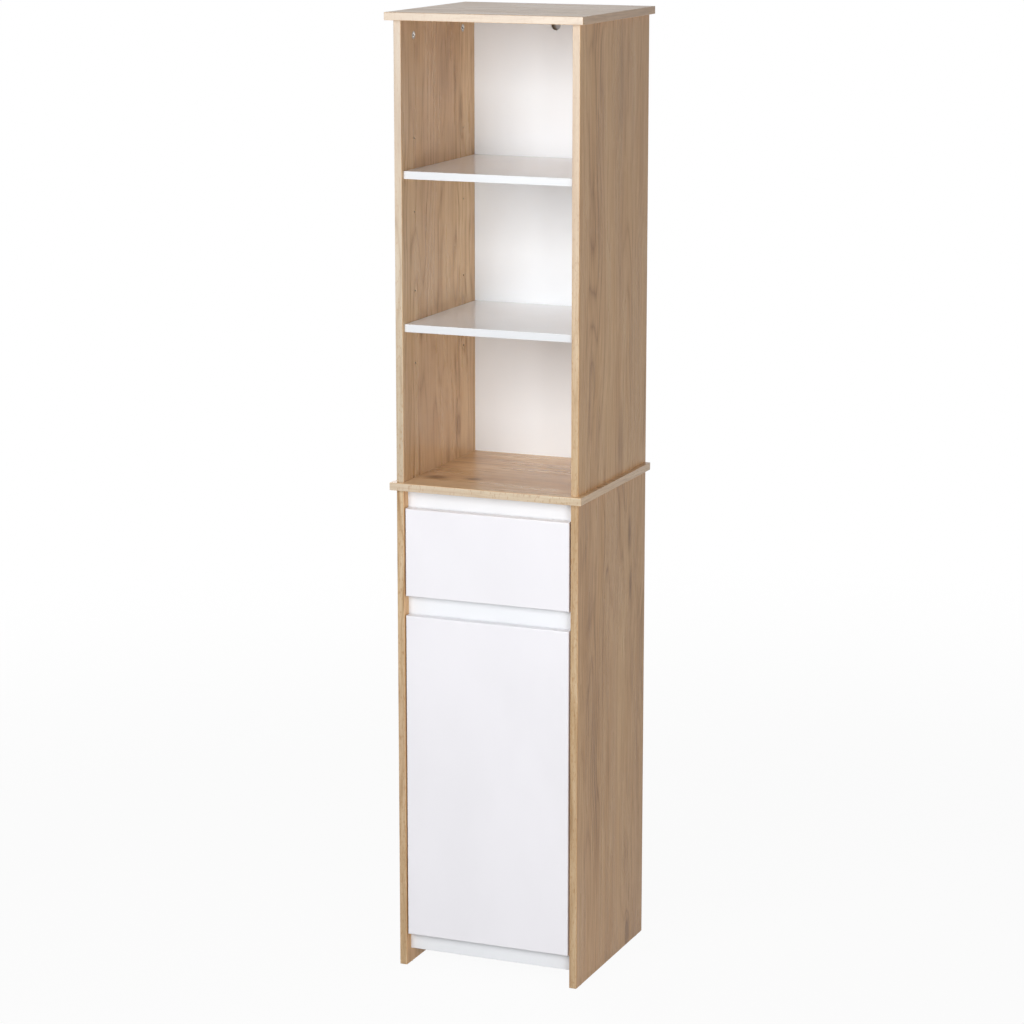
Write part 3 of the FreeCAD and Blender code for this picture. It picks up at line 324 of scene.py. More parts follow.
@dataclass(frozen=True)
class OakPrint:
    """The oak print of one board, with its raw chipboard core where no edge band covers it.

    Attributes:
        name, gloss: The material's name and its specular level.
        grain: The way that the grain runs.
        seed: The offset, in metres, that gives the board a print of its own.
        tint, knots: What the print's colour is multiplied by, a painted light that makes the board a lit or
            shaded copy of the one print, and the figures on it.
        pale, middle, deep: The print's light, medium and dark tones.
        rosy, knot_tone: The tone of its blush, and the tone at a knot's heart.
        painted_sheen_cream, band_tone: The painted sheen that the front edge band pales to towards the top,
            and what multiplies the band's colour.
    """

    name: str
    grain: Grain
    seed: Point
    gloss: float
    tint: Point
    knots: tuple[Knot, ...] = ()
    pale: Point = tone(222, 188, 145)
    middle: Point = tone(202, 163, 118)
    deep: Point = tone(156, 115, 74)
    rosy: Point = tone(190, 152, 122)
    knot_tone: Point = tone(104, 66, 38)
    painted_sheen_cream: Point = tone(222, 208, 194)
    band_tone: Point = (0.75, 0.90, 1.14)

    # Patterns on the grain's own axes: across it, through the board and along it.
    LONG_SWAY = Pattern((3.0, 3.0, 2.2), 1.0)
    SHORT_SWAY = Pattern((18.0, 18.0, 9.0), 1.0)
    WARP = Pattern((8.0, 8.0, 1.1))
    BANDS = Pattern((14.0, 14.0, 0.8))
    STREAKS = Pattern((130.0, 130.0, 3.2), 4.0, 0.66)
    FIBRES = Pattern((480.0, 480.0, 8.0), 3.0, 0.6)
    RING_PATCHES = Pattern((9.0, 9.0, 1.0))
    BLUSH = Pattern((16.0, 16.0, 1.3))
    PORES = Pattern((620.0, 620.0, 16.0), 3.0, 0.6)
    SHEEN = Pattern((40.0, 40.0, 3.0))
    # A pattern on the cabinet's own axes.
    SPECKS = Pattern((320.0, 320.0, 110.0), 3.0, 0.6)

    LONG_REACH = 0.040
    SHORT_REACH = 0.007
    RINGS_A_METRE = 42.0
    WARP_RINGS = 26.0
    BAND_SHARE = 0.30
    STREAK_SHARE = 0.44
    FIBRE_SHARE = 0.26
    PORE_SHARE = 0.34
    KNOT_SHADE = 0.12
    HEART_SHARE = 0.62
    HEART_POWER = 1.6
    RING_POWER = 3.0
    RING_RELIEF = 0.02
    RELIEF = 0.00005
    CHIPS_A_METRE = 420.0
    BACK_FROM = 0.1935
    BACK_TO = 0.1940

    def material(self) -> bpy.types.Material:
        """Builds the print: rings are level lines of a warped field, with streaks and pores over them.

        Returns:
            The finished material.
        """
        g = Surface(self.name, 0.45)
        g.fill(g.shader, {"Specular IOR Level": self.gloss})
        x, y, z = g.split(g.place)
        facing_x, facing_y = g.split(g.facing)[:2]
        if self.grain is Grain.ACROSS:
            end_face = g.looking(g.math("ABSOLUTE", facing_x))
            along, across, side = g.between(end_face, x, y), g.between(end_face, y, x), z
        else:
            along, across, side = z, y, x
        flat = g.join(across, side, along)
        spot = self.swayed(g, g.vector("ADD", flat, self.seed))
        marks = [(knot, self.mask(g, flat, knot)) for knot in self.knots]
        field = self.field(g, spot, marks)
        colour = self.colour(g, spot, field, marks)
        dashes = g.span(g.noise(spot, self.PORES), 0.55, 0.70)
        colour = g.mix(g.math("MULTIPLY", dashes, self.PORE_SHARE), colour, self.deep)
        # Painted light: the board's tint, then the front band with its painted sheen.
        colour = self.banded(g, g.tinted(colour, self.tint), z, facing_y)
        colour = self.cored(g, colour, y, facing_y)
        roughness = g.span(g.noise(spot, self.SHEEN), 0.2, 0.8, 0.24, 0.36)
        height = g.math("SUBTRACT", g.math("MULTIPLY", field, self.RING_RELIEF), dashes)
        return g.finish(colour, roughness, height, self.RELIEF)

    def swayed(self, g: Surface, spot: Socket) -> Socket:
        """Bends the straight grain to each side, in long waves with short ones on them.

        Args:
            g: The material's graph.
            spot: The position on the grain's axes.

        Returns:
            The position moved sideways by half of each reach at most.
        """
        long, short = g.noise(spot, self.LONG_SWAY), g.noise(spot, self.SHORT_SWAY)
        long = g.math("MULTIPLY_ADD", long, self.LONG_REACH, -self.LONG_REACH / 2)
        short = g.math("MULTIPLY_ADD", short, self.SHORT_REACH, -self.SHORT_REACH / 2)
        sway = g.math("ADD", long, short)
        return g.vector("ADD", spot, g.join(sway, sway, 0.0))

    def field(self, g: Surface, spot: Socket, marks: Marks) -> Socket:
        """The smooth field whose level lines are the growth rings, raised at each knot.

        Args:
            g: The material's graph.
            spot: The swayed position on the grain's axes.
            marks: The knots with their masks.

        Returns:
            The field's value, one unit a ring.
        """
        warp = g.noise(spot, self.WARP)
        across, side = g.split(spot)[:2]
        line = g.math("MULTIPLY", g.math("ADD", across, side), self.RINGS_A_METRE)
        field = g.math("ADD", line, g.math("MULTIPLY", warp, self.WARP_RINGS))
        for knot, mask in marks:
            field = g.math("MULTIPLY_ADD", mask, 2.0 + 2.0 * knot.dark, field)
        return field

    def mask(self, g: Surface, flat: Socket, knot: Knot) -> Socket:
        """1 at a knot's centre, falling to 0 at its reach by a smooth step.

        Args:
            g: The material's graph.
            flat: The position on the grain's axes.
            knot: The knot.

        Returns:
            The mask.
        """
        reach = (1.0 / knot.across, 1.0 / knot.across, 1.0 / knot.along)
        x, y, z = knot.centre
        middle = (y, z, x) if self.grain is Grain.ACROSS else (y, x, z)
        away = g.vector("MULTIPLY", g.vector("SUBTRACT", flat, middle), reach)
        return g.span(g.vector("LENGTH", away), 0.0, 1.0, 1.0, 0.0)

    def colour(self, g: Surface, spot: Socket, field: Socket, marks: Marks) -> Socket:
        """The print's colour: broad bands, long streaks, ring lines and dark knots.

        Args:
            g: The material's graph.
            spot: The swayed position on the grain's axes.
            field: The field of the growth rings.
            marks: The knots with their masks.

        Returns:
            The colour before pores, tint and edge band.
        """
        bands = g.math("MULTIPLY", g.noise(spot, self.BANDS), self.BAND_SHARE)
        streaks = g.math("MULTIPLY", g.noise(spot, self.STREAKS), self.STREAK_SHARE)
        shade = g.math("ADD", bands, streaks)
        shade = g.math("MULTIPLY_ADD", g.noise(spot, self.FIBRES), self.FIBRE_SHARE, shade)
        rings = g.math("POWER", g.math("PINGPONG", field, 1.0), self.RING_POWER)
        strength = g.span(g.noise(spot, self.RING_PATCHES), 0.38, 0.68, 0.02, 0.16)
        shade = g.math("SUBTRACT", shade, g.math("MULTIPLY", rings, strength))
        for knot, mask in marks:
            shade = g.math("SUBTRACT", shade, g.math("MULTIPLY", mask, self.KNOT_SHADE * knot.dark))
        colour = g.ramp(shade, (0.30, self.deep), (0.47, self.middle), (0.62, self.pale))
        blush = g.span(g.noise(spot, self.BLUSH), 0.42, 0.66, 0.0, 0.45)
        colour = g.mix(blush, colour, g.mix(0.5, colour, self.rosy))
        for knot, mask in marks:
            heart = g.math("MULTIPLY", g.math("POWER", mask, self.HEART_POWER), self.HEART_SHARE * knot.dark)
            colour = g.mix(heart, colour, self.knot_tone)
        return colour

    def banded(self, g: Surface, colour: Socket, height: Socket, facing: Socket) -> Socket:
        """Tones the front edge band, speckles it and pales it towards the top of the cabinet as a painted
        sheen.

        Args:
            g: The material's graph.
            colour: The print's colour.
            height: The position's height.
            facing: The normal's part from front to back.

        Returns:
            The colour with the band in it.
        """
        specks = g.span(g.noise(g.place, self.SPECKS), 0.54, 0.66, 0.0, 0.5)
        toned = g.mix(specks, g.tinted(colour, self.band_tone), self.deep)
        # Painted sheen: the band pales to cream towards the top of the cabinet.
        toned = g.mix(g.span(height, 0.9, 2.0, 0.0, 0.55), toned, self.painted_sheen_cream)
        return g.mix(g.looking(facing, -1.0), colour, toned)

    def cored(self, g: Surface, colour: Socket, depth: Socket, facing: Socket) -> Socket:
        """Shows the board's chips on its back edge, which has no band.

        Args:
            g: The material's graph.
            colour: The colour of the rest.
            depth: The position from front to back.
            facing: The normal's part from front to back.

        Returns:
            The colour with the raw edge in it.
        """
        raw = g.math("MULTIPLY", g.span(depth, self.BACK_FROM, self.BACK_TO), g.looking(facing))
        shades = (0.0, tone(150, 118, 80)), (0.5, tone(190, 158, 116)), (1.0, tone(214, 188, 150))
        return g.mix(raw, colour, g.ramp(g.chips(g.place, self.CHIPS_A_METRE), *shades))


@dataclass(frozen=True)
class WhiteFinish:
    """A faintly uneven white surface: lacquer, laminate, or the coated side of a hardboard back.

    Attributes:
        name, colour: The material's name and colour.
        roughness, grit: Its roughness, and how many bumps a metre its skin has.
        coat: How much clear coat lies over it.
        painted_front_shade: What the colour is multiplied by on faces that look to the front, a painted shade
            that darkens these brightly lit faces.
        bare_back: Whether the face towards the wall is bare hardboard.
    """

    name: str
    colour: Point
    roughness: float
    grit: float = 900.0
    coat: float = 0.0
    painted_front_shade: float = 1.0
    bare_back: bool = False

    CLOUD = Pattern((6.0, 6.0, 3.0), 3.0)
    FIBRES = Pattern((260.0, 260.0, 260.0), 5.0, 0.7)
    PATCHES = Pattern((14.0, 14.0, 14.0))
    DIM = 0.965
    SWING = 0.02
    COAT_ROUGHNESS = 0.12
    RELIEF = 0.000002

    def material(self) -> bpy.types.Material:
        """Builds the white with soft clouds in its tone and the orange skin of its surface.

        Returns:
            The finished material.
        """
        g = Surface(self.name, self.roughness)
        g.fill(g.shader, {"Coat Weight": self.coat, "Coat Roughness": self.COAT_ROUGHNESS})
        skin = g.noise(g.place, Pattern((self.grit, self.grit, self.grit)))
        colour = g.shaded(g.noise(g.place, self.CLOUD), self.colour, self.DIM)
        # Painted shade: faces that look to the front are darkened.
        front = g.looking(g.split(g.facing)[1], -1.0)
        colour = g.mix(front, colour, g.tinted(colour, (self.painted_front_shade,) * 3))
        roughness = g.span(skin, 0.25, 0.75, self.roughness - self.SWING, self.roughness + self.SWING)
        if self.bare_back:
            colour, roughness = self.hardboard(g, colour, roughness)
        return g.finish(colour, roughness, skin, self.RELIEF)

    def hardboard(self, g: Surface, colour: Socket, roughness: Socket) -> tuple[Socket, Socket]:
        """Leaves the brown pressed fibres bare on the face towards the wall.

        Args:
            g: The material's graph.
            colour: The colour of the coated side.
            roughness: Its roughness.

        Returns:
            The colour and the roughness of both sides.
        """
        behind = g.looking(g.split(g.facing)[1])
        patches = g.math("MULTIPLY", g.noise(g.place, self.PATCHES), 0.3)
        shade = g.math("MULTIPLY_ADD", g.noise(g.place, self.FIBRES), 0.7, patches)
        shades = (0.36, tone(112, 82, 56)), (0.52, tone(140, 106, 74)), (0.66, tone(164, 130, 94))
        return g.mix(behind, colour, g.ramp(shade, *shades)), g.math("MULTIPLY_ADD", behind, 0.45, roughness)


@dataclass(frozen=True)
class MetalFinish:
    """A plated or painted steel part with fine marks from rolling or tumbling.

    Attributes:
        name, colour: The material's name and colour.
        roughness, metallic: Its mean roughness, and 1 for bare metal or 0 under paint.
        stretch: How many marks a metre it has along each axis.
        recess_shade: The painted shade at the bottom of a drive, a dark tone placed by the mesh's attribute
            of this name.
    """

    name: str
    colour: Point
    roughness: float
    metallic: float
    stretch: Point
    recess_shade: Point = tone(70, 54, 42)

    CLOUD = Pattern((60.0, 60.0, 60.0))
    DULL = 0.82
    RELIEF = 0.00002

    def material(self) -> bpy.types.Material:
        """Builds a metal whose tone, roughness and relief follow fine stretched marks.

        Returns:
            The finished material.
        """
        g = Surface(self.name, self.roughness, self.metallic)
        marks = g.noise(g.place, Pattern(self.stretch, 3.0, 0.6))
        colour = g.shaded(g.noise(g.place, self.CLOUD), self.colour, self.DULL)
        # Painted shade: the colour darkens towards the bottom of each drive.
        colour = g.mix(g.attribute("recess_shade"), colour, self.recess_shade)
        roughness = g.span(marks, 0.25, 0.75, self.roughness - 0.07, self.roughness + 0.09)
        return g.finish(colour, roughness, marks, self.RELIEF)


@dataclass(frozen=True)
class MouldedFinish:
    """A moulded plastic, rubber or plain wood part with a fine grain of its own.

    Attributes:
        name, colour: The material's name and colour.
        roughness: Its mean roughness.
        stretch: How many grains a metre it has along each axis.
        contrast: How much darker its dark grains are.
    """

    name: str
    colour: Point
    roughness: float
    stretch: Point
    contrast: float

    SWING = 0.05
    RELIEF = 0.00003

    def material(self) -> bpy.types.Material:
        """Builds a matt surface with a fine pattern in tone and relief.

        Returns:
            The finished material.
        """
        g = Surface(self.name, self.roughness)
        grain = g.noise(g.place, Pattern(self.stretch, 3.0, 0.6))
        colour = g.shaded(grain, self.colour, 1.0 - self.contrast)
        roughness = g.span(grain, 0.2, 0.8, self.roughness - self.SWING, self.roughness + self.SWING)
        return g.finish(colour, roughness, grain, self.RELIEF)


def dress(nodes: Nodes, names: list[str], material: bpy.types.Material) -> None:
    """Gives CAD nodes their finish, and keeps their meshes as they are.

    Args:
        nodes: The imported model's nodes.
        names: The nodes to dress.
        material: The finish.
    """
    for name in names:
        slots = nodes[name].material_slots
        if not slots:
            nodes[name].data.materials.append(material)
        for slot in slots:
            slot.material = material


@dataclass
class OakCarcass:
    """The four oak sides and the two overhanging oak boards."""

    nodes: Nodes

    def prints(self) -> dict[str, OakPrint]:
        """One print a board, with the figures that the photograph shows on it.

        Returns:
            The prints by node.
        """
        outer, inner = 0.190, -0.175
        upper_right = (
            Knot((outer, 0.044, 1.750), 0.030, 0.260, 0.35),
            Knot((outer, 0.052, 1.060), 0.034, 0.150, 0.45),
        )
        base_right = (
            Knot((outer, 0.105, 0.864), 0.016, 0.075, 1.0),
            Knot((outer, 0.112, 0.755), 0.014, 0.060, 0.9),
            Knot((outer, 0.108, 0.030), 0.022, 0.070, 0.8),
            Knot((outer, -0.080, 0.480), 0.030, 0.300, 0.3),
        )
        upper_left = (
            Knot((inner, 0.021, 1.780), 0.060, 0.170, 0.3),
            Knot((inner, 0.108, 1.690), 0.018, 0.110, 0.6),
            Knot((inner, 0.116, 1.270), 0.014, 0.070, 0.6),
            Knot((inner, 0.090, 1.060), 0.026, 0.070, 0.5),
        )
        middle = (
            Knot((-0.136, -0.106, 0.992), 0.030, 0.044, 1.5),
            Knot((-0.063, -0.096, 0.992), 0.020, 0.032, 1.2),
        )
        # Painted light: each tint makes a board a lit or shaded copy of the one print. The rich tint deepens
        # three sides against their grey sheen, the soft one cools the inner left side against warm bounce
        # light, and the bright one pales the middle board as a painted reflection of the white back panel.
        painted_light_rich, soft, painted_light_bright = (1.08, 1.01, 0.93), (0.99, 1.03, 1.09), (1.12, 1.15, 1.19)
        across, upright = Grain.ACROSS, Grain.UPRIGHT
        return {
            "top_board": OakPrint("oak_top", across, (0.3, 1.7, 4.1), 0.5, WHITE),
            "middle_board": OakPrint("oak_middle", across, (2.3, 5.2, 0.6), 0.8, painted_light_bright, middle),
            "upper_left_side": OakPrint("oak_upper_left", upright, (7.1, 0.4, 2.2), 0.3, soft, upper_left),
            "upper_right_side": OakPrint(
                "oak_upper_right", upright, (3.3, 9.2, 6.4), 0.15, painted_light_rich, upper_right),
            "base_left_side": OakPrint("oak_base_left", upright, (5.7, 2.8, 8.3), 0.15, painted_light_rich),
            "base_right_side": OakPrint("oak_base_right", upright, (1.9, 6.6, 3.7), 0.15, painted_light_rich, base_right),
        }

    def build(self) -> None:
        """Dresses each board in its own print."""
        for name, finish in self.prints().items():
            dress(self.nodes, [name], finish.material())


@dataclass
class WhiteBoards:
    """The back panels, rails, floors, shelves, drawer box and the two lacquered fronts."""

    nodes: Nodes
    # The laminate's front edges carry a painted shade.
    laminate: WhiteFinish = WhiteFinish("white_laminate", (0.93, 0.95, 0.98), 0.18, painted_front_shade=0.73)
    tray: WhiteFinish = WhiteFinish("white_tray", (0.89, 0.89, 0.90), 0.30)
    rail: WhiteFinish = WhiteFinish("white_rail", (0.76, 0.775, 0.80), 0.36)
    backing: WhiteFinish = WhiteFinish("white_backing", (0.90, 0.945, 0.99), 0.45, bare_back=True)
    lacquer: WhiteFinish = WhiteFinish("white_lacquer", (0.785, 0.775, 0.81), 0.30, 90.0, 0.15)

    def build(self) -> None:
        """Dresses the fronts, the boards, the drawer's floor, the rails and the backs."""
        boards = [
            "upper_shelf_low", "upper_shelf_high", "base_shelf",
            "divider_panel", "bottom_panel",
            "drawer_left_side", "drawer_right_side", "drawer_back",
        ]
        dress(self.nodes, ["drawer_front", "door_panel"], self.lacquer.material())
        dress(self.nodes, boards, self.laminate.material())
        dress(self.nodes, ["drawer_bottom"], self.tray.material())
        dress(self.nodes, ["drawer_rail", "divider_rail", "plinth_rail"], self.rail.material())
        dress(self.nodes, ["upper_back_panel", "base_back_panel"], self.backing.material())


@dataclass(frozen=True)
class Seat:
    """Where one turned fitting sits, read from its CAD solid.

    Attributes:
        face: The middle of the face that shows.
        outward: The way that this face looks.
        radii, depths: Each point's distance from the axis, and its depth below the face.
    """

    face: np.ndarray
    outward: np.ndarray
    radii: np.ndarray
    depths: np.ndarray

    AXIS_SHARE = 0.6
    RIM_SHARE = 0.98

    @property
    def radius(self) -> float:
        """The fitting's widest radius."""
        return float(self.radii.max())

    @property
    def length(self) -> float:
        """The fitting's whole length."""
        return float(self.depths.max())

    def turn(self, radii: np.ndarray, depths: np.ndarray) -> np.ndarray:
        """Places rings of points round the axis: face + radius * direction - depth * outward.

        Args:
            radii: The radius at each ring and angle.
            depths: The depth at each ring and angle.

        Returns:
            The points, rings by angles by 3.
        """
        first = np.roll(self.outward, 1)
        second = np.cross(self.outward, first)
        angle = ring_angles(radii.shape[1])[None, :, None]
        spoke = np.cos(angle) * first + np.sin(angle) * second
        return self.face + radii[..., None] * spoke - depths[..., None] * self.outward


def ring_angles(count: int) -> np.ndarray:
    """Equal steps round one turn."""
    return np.arange(count) * 2 * np.pi / count


def solids(node: bpy.types.Object) -> list[np.ndarray]:
    """Splits a node's mesh into the points of its separate solids.

    Points at one place, to a micrometre, count as one. Each takes the lowest number found along the
    edges that it is on, again and again, until every solid has one number.

    Args:
        node: A CAD node.

    Returns:
        The points of each solid.
    """
    mesh = node.data
    points = np.empty(len(mesh.vertices) * 3)
    mesh.vertices.foreach_get("co", points)
    edges = np.empty(len(mesh.edges) * 2, dtype=np.int64)
    mesh.edges.foreach_get("vertices", edges)
    spots, index = np.unique(np.round(points.reshape(-1, 3), 6), axis=0, return_inverse=True)
    pairs = index.reshape(-1)[edges.reshape(-1, 2)]
    label = np.arange(len(spots))
    settled = False
    while not settled:
        lower = label.copy()
        lowest = label[pairs].min(axis=1)
        np.minimum.at(lower, pairs[:, 0], lowest)
        np.minimum.at(lower, pairs[:, 1], lowest)
        lower = lower[lower]
        settled = np.array_equal(lower, label)
        label = lower
    return [spots[label == number] for number in np.unique(label)]


class Facing(Enum):
    """What tells a turned fitting's visible end: its drive, its wide head, or the side it is on."""

    DRIVE = "drive"
    HEAD = "head"
    BEHIND = "behind"


def seat_of(points: np.ndarray, facing: Facing) -> Seat:
    """Finds a round solid's axis and its visible end.

    The axis is the side of the box that differs from the other two. The points near the axis lie at
    the end with the drive, and the widest ones at the end with the head.

    Args:
        points: The solid's points.
        facing: What tells the visible end.

    Returns:
        The fitting's seat.
    """
    low, high = points.min(axis=0), points.max(axis=0)
    sides, middle = high - low, (low + high) / 2
    axis = int(np.argmax(np.abs(sides - np.median(sides))))
    across = np.delete(points - middle, axis, axis=1)
    radii = np.hypot(across[:, 0], across[:, 1])
    telling = {
        Facing.DRIVE: radii < Seat.AXIS_SHARE * radii.max(),
        Facing.HEAD: radii > Seat.RIM_SHARE * radii.max(),
        Facing.BEHIND: points[:, axis] == high[axis],
    }[facing]
    outward = np.zeros(3)
    outward[axis] = np.sign(points[telling, axis].mean() - middle[axis])
    face = middle + outward * sides[axis] / 2
    return Seat(face, outward, radii, (face - points) @ outward)


def cross_mask(radii: np.ndarray, reach: float, width: float) -> np.ndarray:
    """1 inside a cross recess, 0 outside it, with flanks a third of an arm's width wide.

    Args:
        radii: The radius at each ring and angle.
        reach: How far the arms reach from the middle.
        width: Half an arm's width.

    Returns:
        The mask at each ring and angle.
    """
    angle = ring_angles(radii.shape[1])[None, :]
    along, across = np.abs(radii * np.cos(angle)), np.abs(radii * np.sin(angle))
    flank = width / 1.5

    def arm(first: np.ndarray, second: np.ndarray) -> np.ndarray:
        """1 inside one pair of arms, by the distance along it and the distance across it."""
        return np.clip((reach - first) / flank, 0, 1) * np.clip((width - second) / flank + 0.5, 0, 1)

    return np.maximum(arm(along, across), arm(across, along))


@dataclass(frozen=True)
class Driven:
    """A turned fitting with a cross drive in its face.

    Attributes:
        seat: Where it sits.
        angles: How many points each ring has.
        face_rings: How many rings its face has.
        face_from, face_to: Its innermost and outermost ring. These, the bevel and the arms are shares
            of the fitting's radius.
        bevel: The bevel round its rim.
        arm_reach, arm_half: How far the drive's arms reach, and half their width.
    """

    seat: Seat
    angles: int
    face_rings: int
    face_from: float
    face_to: float
    bevel: float
    arm_reach: float
    arm_half: float

    def face(self) -> np.ndarray:
        """The radii of the face's rings."""
        return np.linspace(self.face_from, self.face_to, self.face_rings) * self.seat.radius

    def drive(self, radii: np.ndarray) -> np.ndarray:
        """Tells the points in the drive from the others.

        Args:
            radii: The radius at each ring and angle.

        Returns:
            1 in the drive and 0 outside it, at each ring and angle.
        """
        mask, inside, radius = np.zeros_like(radii), slice(self.face_rings), self.seat.radius
        mask[inside] = cross_mask(radii[inside], self.arm_reach * radius, self.arm_half * radius)
        return mask


@dataclass(frozen=True)
class CamLock(Driven):
    """A die-cast cam lock: a ringed face with a pocket and a cross drive, over a plain barrel.

    Attributes:
        groove: The groove's four rings. These, its depth and the pocket are shares of the radius.
        groove_depth: The groove's depth.
        pocket: The radius of the pocket in the middle.
        recess_depth: The pocket's depth, as a share of the lock's length.
        drive_share: The drive's depth, as a share of the pocket's.
    """

    angles: int = 48
    face_rings: int = 18
    face_from: float = 0.02
    face_to: float = 0.72
    bevel: float = 0.04
    arm_reach: float = 0.62
    arm_half: float = 0.13
    groove: tuple[float, ...] = (0.76, 0.78, 0.84, 0.86)
    groove_depth: float = 0.03
    pocket: float = 0.34
    recess_depth: float = 0.16
    drive_share: float = 0.7

    def surface(self) -> tuple[np.ndarray, np.ndarray]:
        """Turns the profile: the face from the middle out, a groove, the rim and the barrel.

        Returns:
            The points, rings by angles by 3, and how deep in the drive each of them is, which also places the
            painted shade.
        """
        radius, length = self.seat.radius, self.seat.length
        bevel = self.bevel * radius
        groove = np.array(self.groove) * radius
        rim = np.array([radius - bevel, radius, radius, radius - bevel])
        radii = np.outer(np.concatenate([self.face(), groove, rim]), np.ones(self.angles))
        pocket = np.clip((self.pocket * radius - radii) / bevel, 0, 1)
        recess_shade = np.maximum(self.drive(radii) * self.drive_share, pocket)
        depths = recess_shade * self.recess_depth * length
        depths[self.face_rings + 1:self.face_rings + 3] += self.groove_depth * radius
        depths[-3:] = np.array([bevel, length - bevel, length])[:, None]
        return self.seat.turn(radii, depths), recess_shade


@dataclass(frozen=True)
class Screw(Driven):
    """A screw: a flat head with a cross drive, and a thread cut into the shank down to its point.

    Attributes:
        drive_depth: The drive's depth, in half arms' widths.
        pitch: The thread's pitch, in metres.
        thread_depth: Its depth. This and the point's sizes are shares of the shank's radius.
        rings_a_turn: How many rings one turn of the thread has.
        point_length, point_width: How long the point is, and how wide its end.
    """

    angles: int = 32
    face_rings: int = 16
    face_from: float = 0.03
    face_to: float = 0.94
    bevel: float = 0.03
    arm_reach: float = 0.55
    arm_half: float = 0.12
    drive_depth: float = 4.0
    pitch: float = 0.0022
    thread_depth: float = 0.2
    rings_a_turn: int = 4
    point_length: float = 1.5
    point_width: float = 0.08

    TIP_SHARE = 0.9
    SHANK_SHARE = 1.02

    def surface(self) -> tuple[np.ndarray, np.ndarray]:
        """Turns the profile.

        On the shank, radius = shank * taper * (1 - thread depth * (1 + cos(angle - turn)) / 2).

        Returns:
            The points, rings by angles by 3, and how deep in the drive each of them is, which also places the
            painted shade.
        """
        seat, radius, length = self.seat, self.seat.radius, self.seat.length
        shank = seat.radii[seat.depths > self.TIP_SHARE * length].max()
        wide = seat.depths[seat.radii > Seat.RIM_SHARE * radius].max()
        under = seat.depths[seat.radii < self.SHANK_SHARE * shank].min()
        bevel = self.bevel * radius
        head_radii = np.concatenate([self.face(), [radius - bevel, radius, radius, shank]])
        rim_depths = [bevel, max(wide, 2 * bevel), under + bevel]
        head_depths = np.concatenate([np.zeros(self.face_rings + 1), rim_depths])
        rings = max(self.rings_a_turn, int(self.rings_a_turn * (length - under) / self.pitch))
        down = np.linspace(under + 2 * bevel, length, rings)
        turn = 2 * np.pi * down[:, None] / self.pitch
        cut = self.thread_depth * (1 + np.cos(ring_angles(self.angles)[None, :] - turn)) / 2
        taper = np.clip((length - down) / (self.point_length * shank), self.point_width, 1)[:, None]
        spread = np.ones(self.angles)
        radii = np.concatenate([np.outer(head_radii, spread), shank * taper * (1 - cut)])
        depths = np.concatenate([np.outer(head_depths, spread), np.outer(down, spread)])
        recess_shade = self.drive(radii)
        return seat.turn(radii, depths + recess_shade * self.arm_half * radius * self.drive_depth), recess_shade


@dataclass(frozen=True)
class Bumper:
    """A soft round pad with a domed face.

    Attributes:
        seat: Where it sits.
        angles: How many points each ring has.
        rings: How many rings the dome has.
        innermost: The innermost ring, as a share of the radius.
        dome, power: How far the dome falls to its rim, as a share of the length, and how flat it is.
    """

    seat: Seat
    angles: int = 32
    rings: int = 14
    innermost: float = 0.05
    dome: float = 0.55
    power: int = 4

    def surface(self) -> tuple[np.ndarray, np.ndarray]:
        """Turns the dome: depth = dome * length * share of the radius to the power.

        Returns:
            The points, rings by angles by 3, and 0 for each of them, because it has no drive.
        """
        share = np.concatenate([np.linspace(self.innermost, 1.0, self.rings), [1.0]])
        depths = self.dome * self.seat.length * share ** self.power
        depths[-1] = self.seat.length
        spread = np.ones(self.angles)
        points = self.seat.turn(np.outer(share * self.seat.radius, spread), np.outer(depths, spread))
        return points, np.zeros(points.shape[:2])


